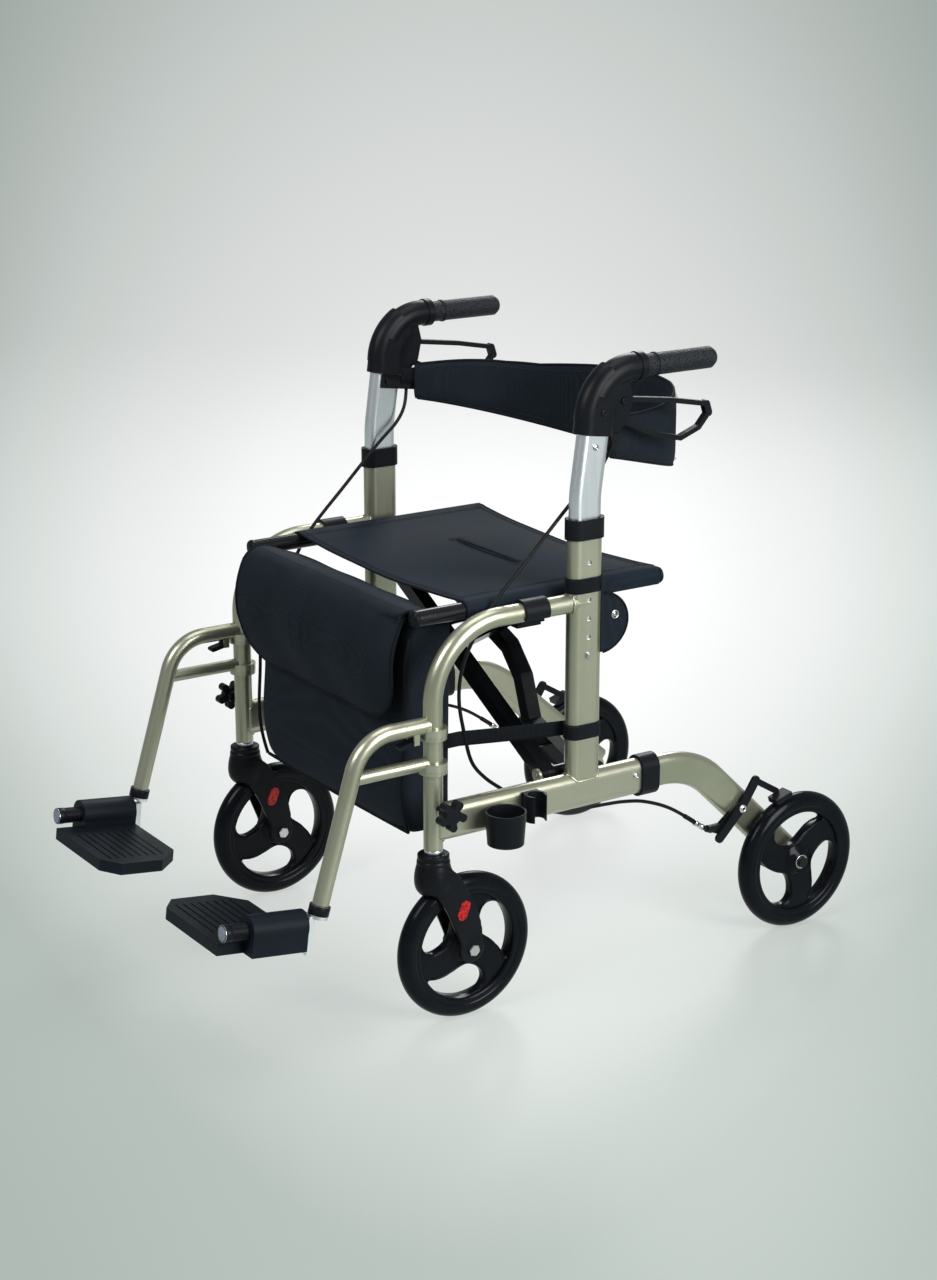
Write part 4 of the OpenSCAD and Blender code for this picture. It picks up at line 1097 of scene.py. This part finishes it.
# Hexagon nuts on the front axle
def axle_nuts(side, s):
    head = [(0.0, TIP), (0.0, 8.3), (4.6, 8.3), (5.4, 7.3), (5.4, TIP)]
    nuts = []
    for way in (1, -1):
        nut = lathe("nut", head, mm(s * TRACK + way * BLADE_OUT, CASTER_Y, AXLE_Z), (way, 0, 0), STEEL, 6)
        set_smooth(nut.data, False)
        nuts.append(nut)
    obj = join(side + "_axle_nuts", nuts)
    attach(obj, side + "_caster")


for side_name, sign in SIDES:
    for make in (plate_lines, brake_bolt, cable_barrel, axle_nuts):
        make(side_name, sign)


# Sweep with a painted pool of light: white behind the object, with painted falloff to grey towards its
# edges
def sweep_material():
    n = Nodes("sweep_painted_light")
    # Place and reach of the painted pool of light, in metres along the floor and up the wall
    middle, near_reach, far_reach, widen, least, full = 1.8, 2.15, 6.2, 0.18, 0.3, 1.6
    place = n.add("ShaderNodeSeparateXYZ")
    n.link(n.coord, place.inputs["Vector"])
    along = n.math("SUBTRACT", n.math("ADD", place.outputs["Y"], place.outputs["Z"]), middle)
    near = n.math("DIVIDE", n.math("MAXIMUM", n.math("MULTIPLY", along, -1.0), 0.0), near_reach)
    far = n.math("DIVIDE", n.math("MAXIMUM", along, 0.0), far_reach)
    depth = n.math("MAXIMUM", near, far)
    width = n.math("MAXIMUM", n.math("ADD", n.math("MULTIPLY", along, widen), 1.0), least)
    across = n.math("DIVIDE", place.outputs["X"], width)
    span = n.math("ADD", n.math("POWER", across, 2.0), n.math("POWER", depth, 2.0))
    ramp = n.add("ShaderNodeValToRGB")
    stops = ((0.0, (1.0, 1.0, 1.0)), (0.28, (0.955, 0.955, 0.955)), (0.47, (0.82, 0.84, 0.83)),
             (0.62, (0.68, 0.72, 0.695)), (0.81, (0.445, 0.497, 0.468)), (1.0, (0.39, 0.44, 0.41)))
    for k, (where, tone) in enumerate(stops):
        stop = ramp.color_ramp.elements[k] if k < 2 else ramp.color_ramp.elements.new(where)
        stop.position = where
        stop.color = (*tone, 1)
    n.link(n.math("DIVIDE", n.math("SQRT", span, 0.0), full), ramp.inputs["Fac"])
    n.link(ramp.outputs["Color"], n.bsdf.inputs["Base Color"])
    n.bsdf.inputs["Roughness"].default_value = 0.34
    n.bsdf.inputs["Specular IOR Level"].default_value = 0.25
    # Painted glow: to camera, glossy and transmission rays the sweep mostly shows this emission of the
    # painted gradient
    glow = n.add("ShaderNodeEmission", Strength=1.0)
    n.link(ramp.outputs["Color"], glow.inputs["Color"])
    ray = n.add("ShaderNodeLightPath")
    seen = n.math("MAXIMUM", ray.outputs["Is Camera Ray"], ray.outputs["Is Glossy Ray"])
    seen = n.math("MAXIMUM", seen, ray.outputs["Is Transmission Ray"])
    mix = n.add("ShaderNodeMixShader")
    n.link(n.math("MULTIPLY", seen, 0.72), mix.inputs["Fac"])
    n.link(n.bsdf.outputs["BSDF"], mix.inputs[1])
    n.link(glow.outputs["Emission"], mix.inputs[2])
    n.link(mix.outputs["Shader"], n.tree.nodes["Material Output"].inputs["Surface"])
    return n.mat


# Floor, light and background
def studio():
    scene = bpy.context.scene
    scene.view_settings.view_transform = "Standard"
    # Floor that turns up behind the object on a wide curve
    start, bend, turn_r, half, steps = -12.0, 4.5, 3, 14.0, 32
    line = [(start, 0.0), (bend, 0.0)]
    for k in range(1, steps + 1):
        a = math.pi / 2 * k / steps
        line.append((bend + turn_r * math.sin(a), turn_r - turn_r * math.cos(a)))
    line.append((bend + turn_r, 2.0 * turn_r))
    verts = [(x, y, z) for y, z in line for x in (-half, half)]
    faces = [(2 * k, 2 * k + 1, 2 * k + 3, 2 * k + 2) for k in range(len(line) - 1)]
    floor = add_mesh("sweep", verts, faces, sweep_material())
    floor.rotation_euler = (0, 0, VIEW_AZIMUTH)
    floor.location = mm(VIEW_X, VIEW_Y, 0)
    world = bpy.data.worlds.new("studio")
    scene.world = world
    world.use_nodes = True
    tree = world.node_tree
    sky = tree.nodes["Background"]
    sky.inputs["Color"].default_value = (0.92, 0.95, 1.0, 1)
    ray = tree.nodes.new("ShaderNodeLightPath")
    # Brighter to the camera than to the object
    level = tree.nodes.new("ShaderNodeMath")
    level.operation = "MULTIPLY_ADD"
    level.inputs[1].default_value = 0.6
    level.inputs[2].default_value = 0.28
    tree.links.new(ray.outputs["Is Camera Ray"], level.inputs[0])
    tree.links.new(level.outputs["Value"], sky.inputs["Strength"])

    def lamp(name, where, aim, size, power):
        data = bpy.data.lights.new(name, "AREA")
        data.shape = "RECTANGLE"
        data.size, data.size_y = size
        data.energy = power
        obj = bpy.data.objects.new(name, data)
        obj.location = where
        obj.rotation_euler = (Vector(aim) - Vector(where)).to_track_quat("-Z", "Y").to_euler()
        scene.collection.objects.link(obj)
    lamp("key", (0.4, -2.6, 2.6), (0, 0, 0.4), (1.4, 1.4), 62)
    lamp("side", (3.1, 0.7, 1.7), (0, 0, 0.45), (1.5, 2.2), 125)
    lamp("rim", (-2.2, 2.2, 2.4), (0, 0, 0.6), (1.4, 1.4), 60)
    lamp("top", (0, 0.2, 3.4), (0, 0, 0), (2.0, 2.0), 38)


studio()
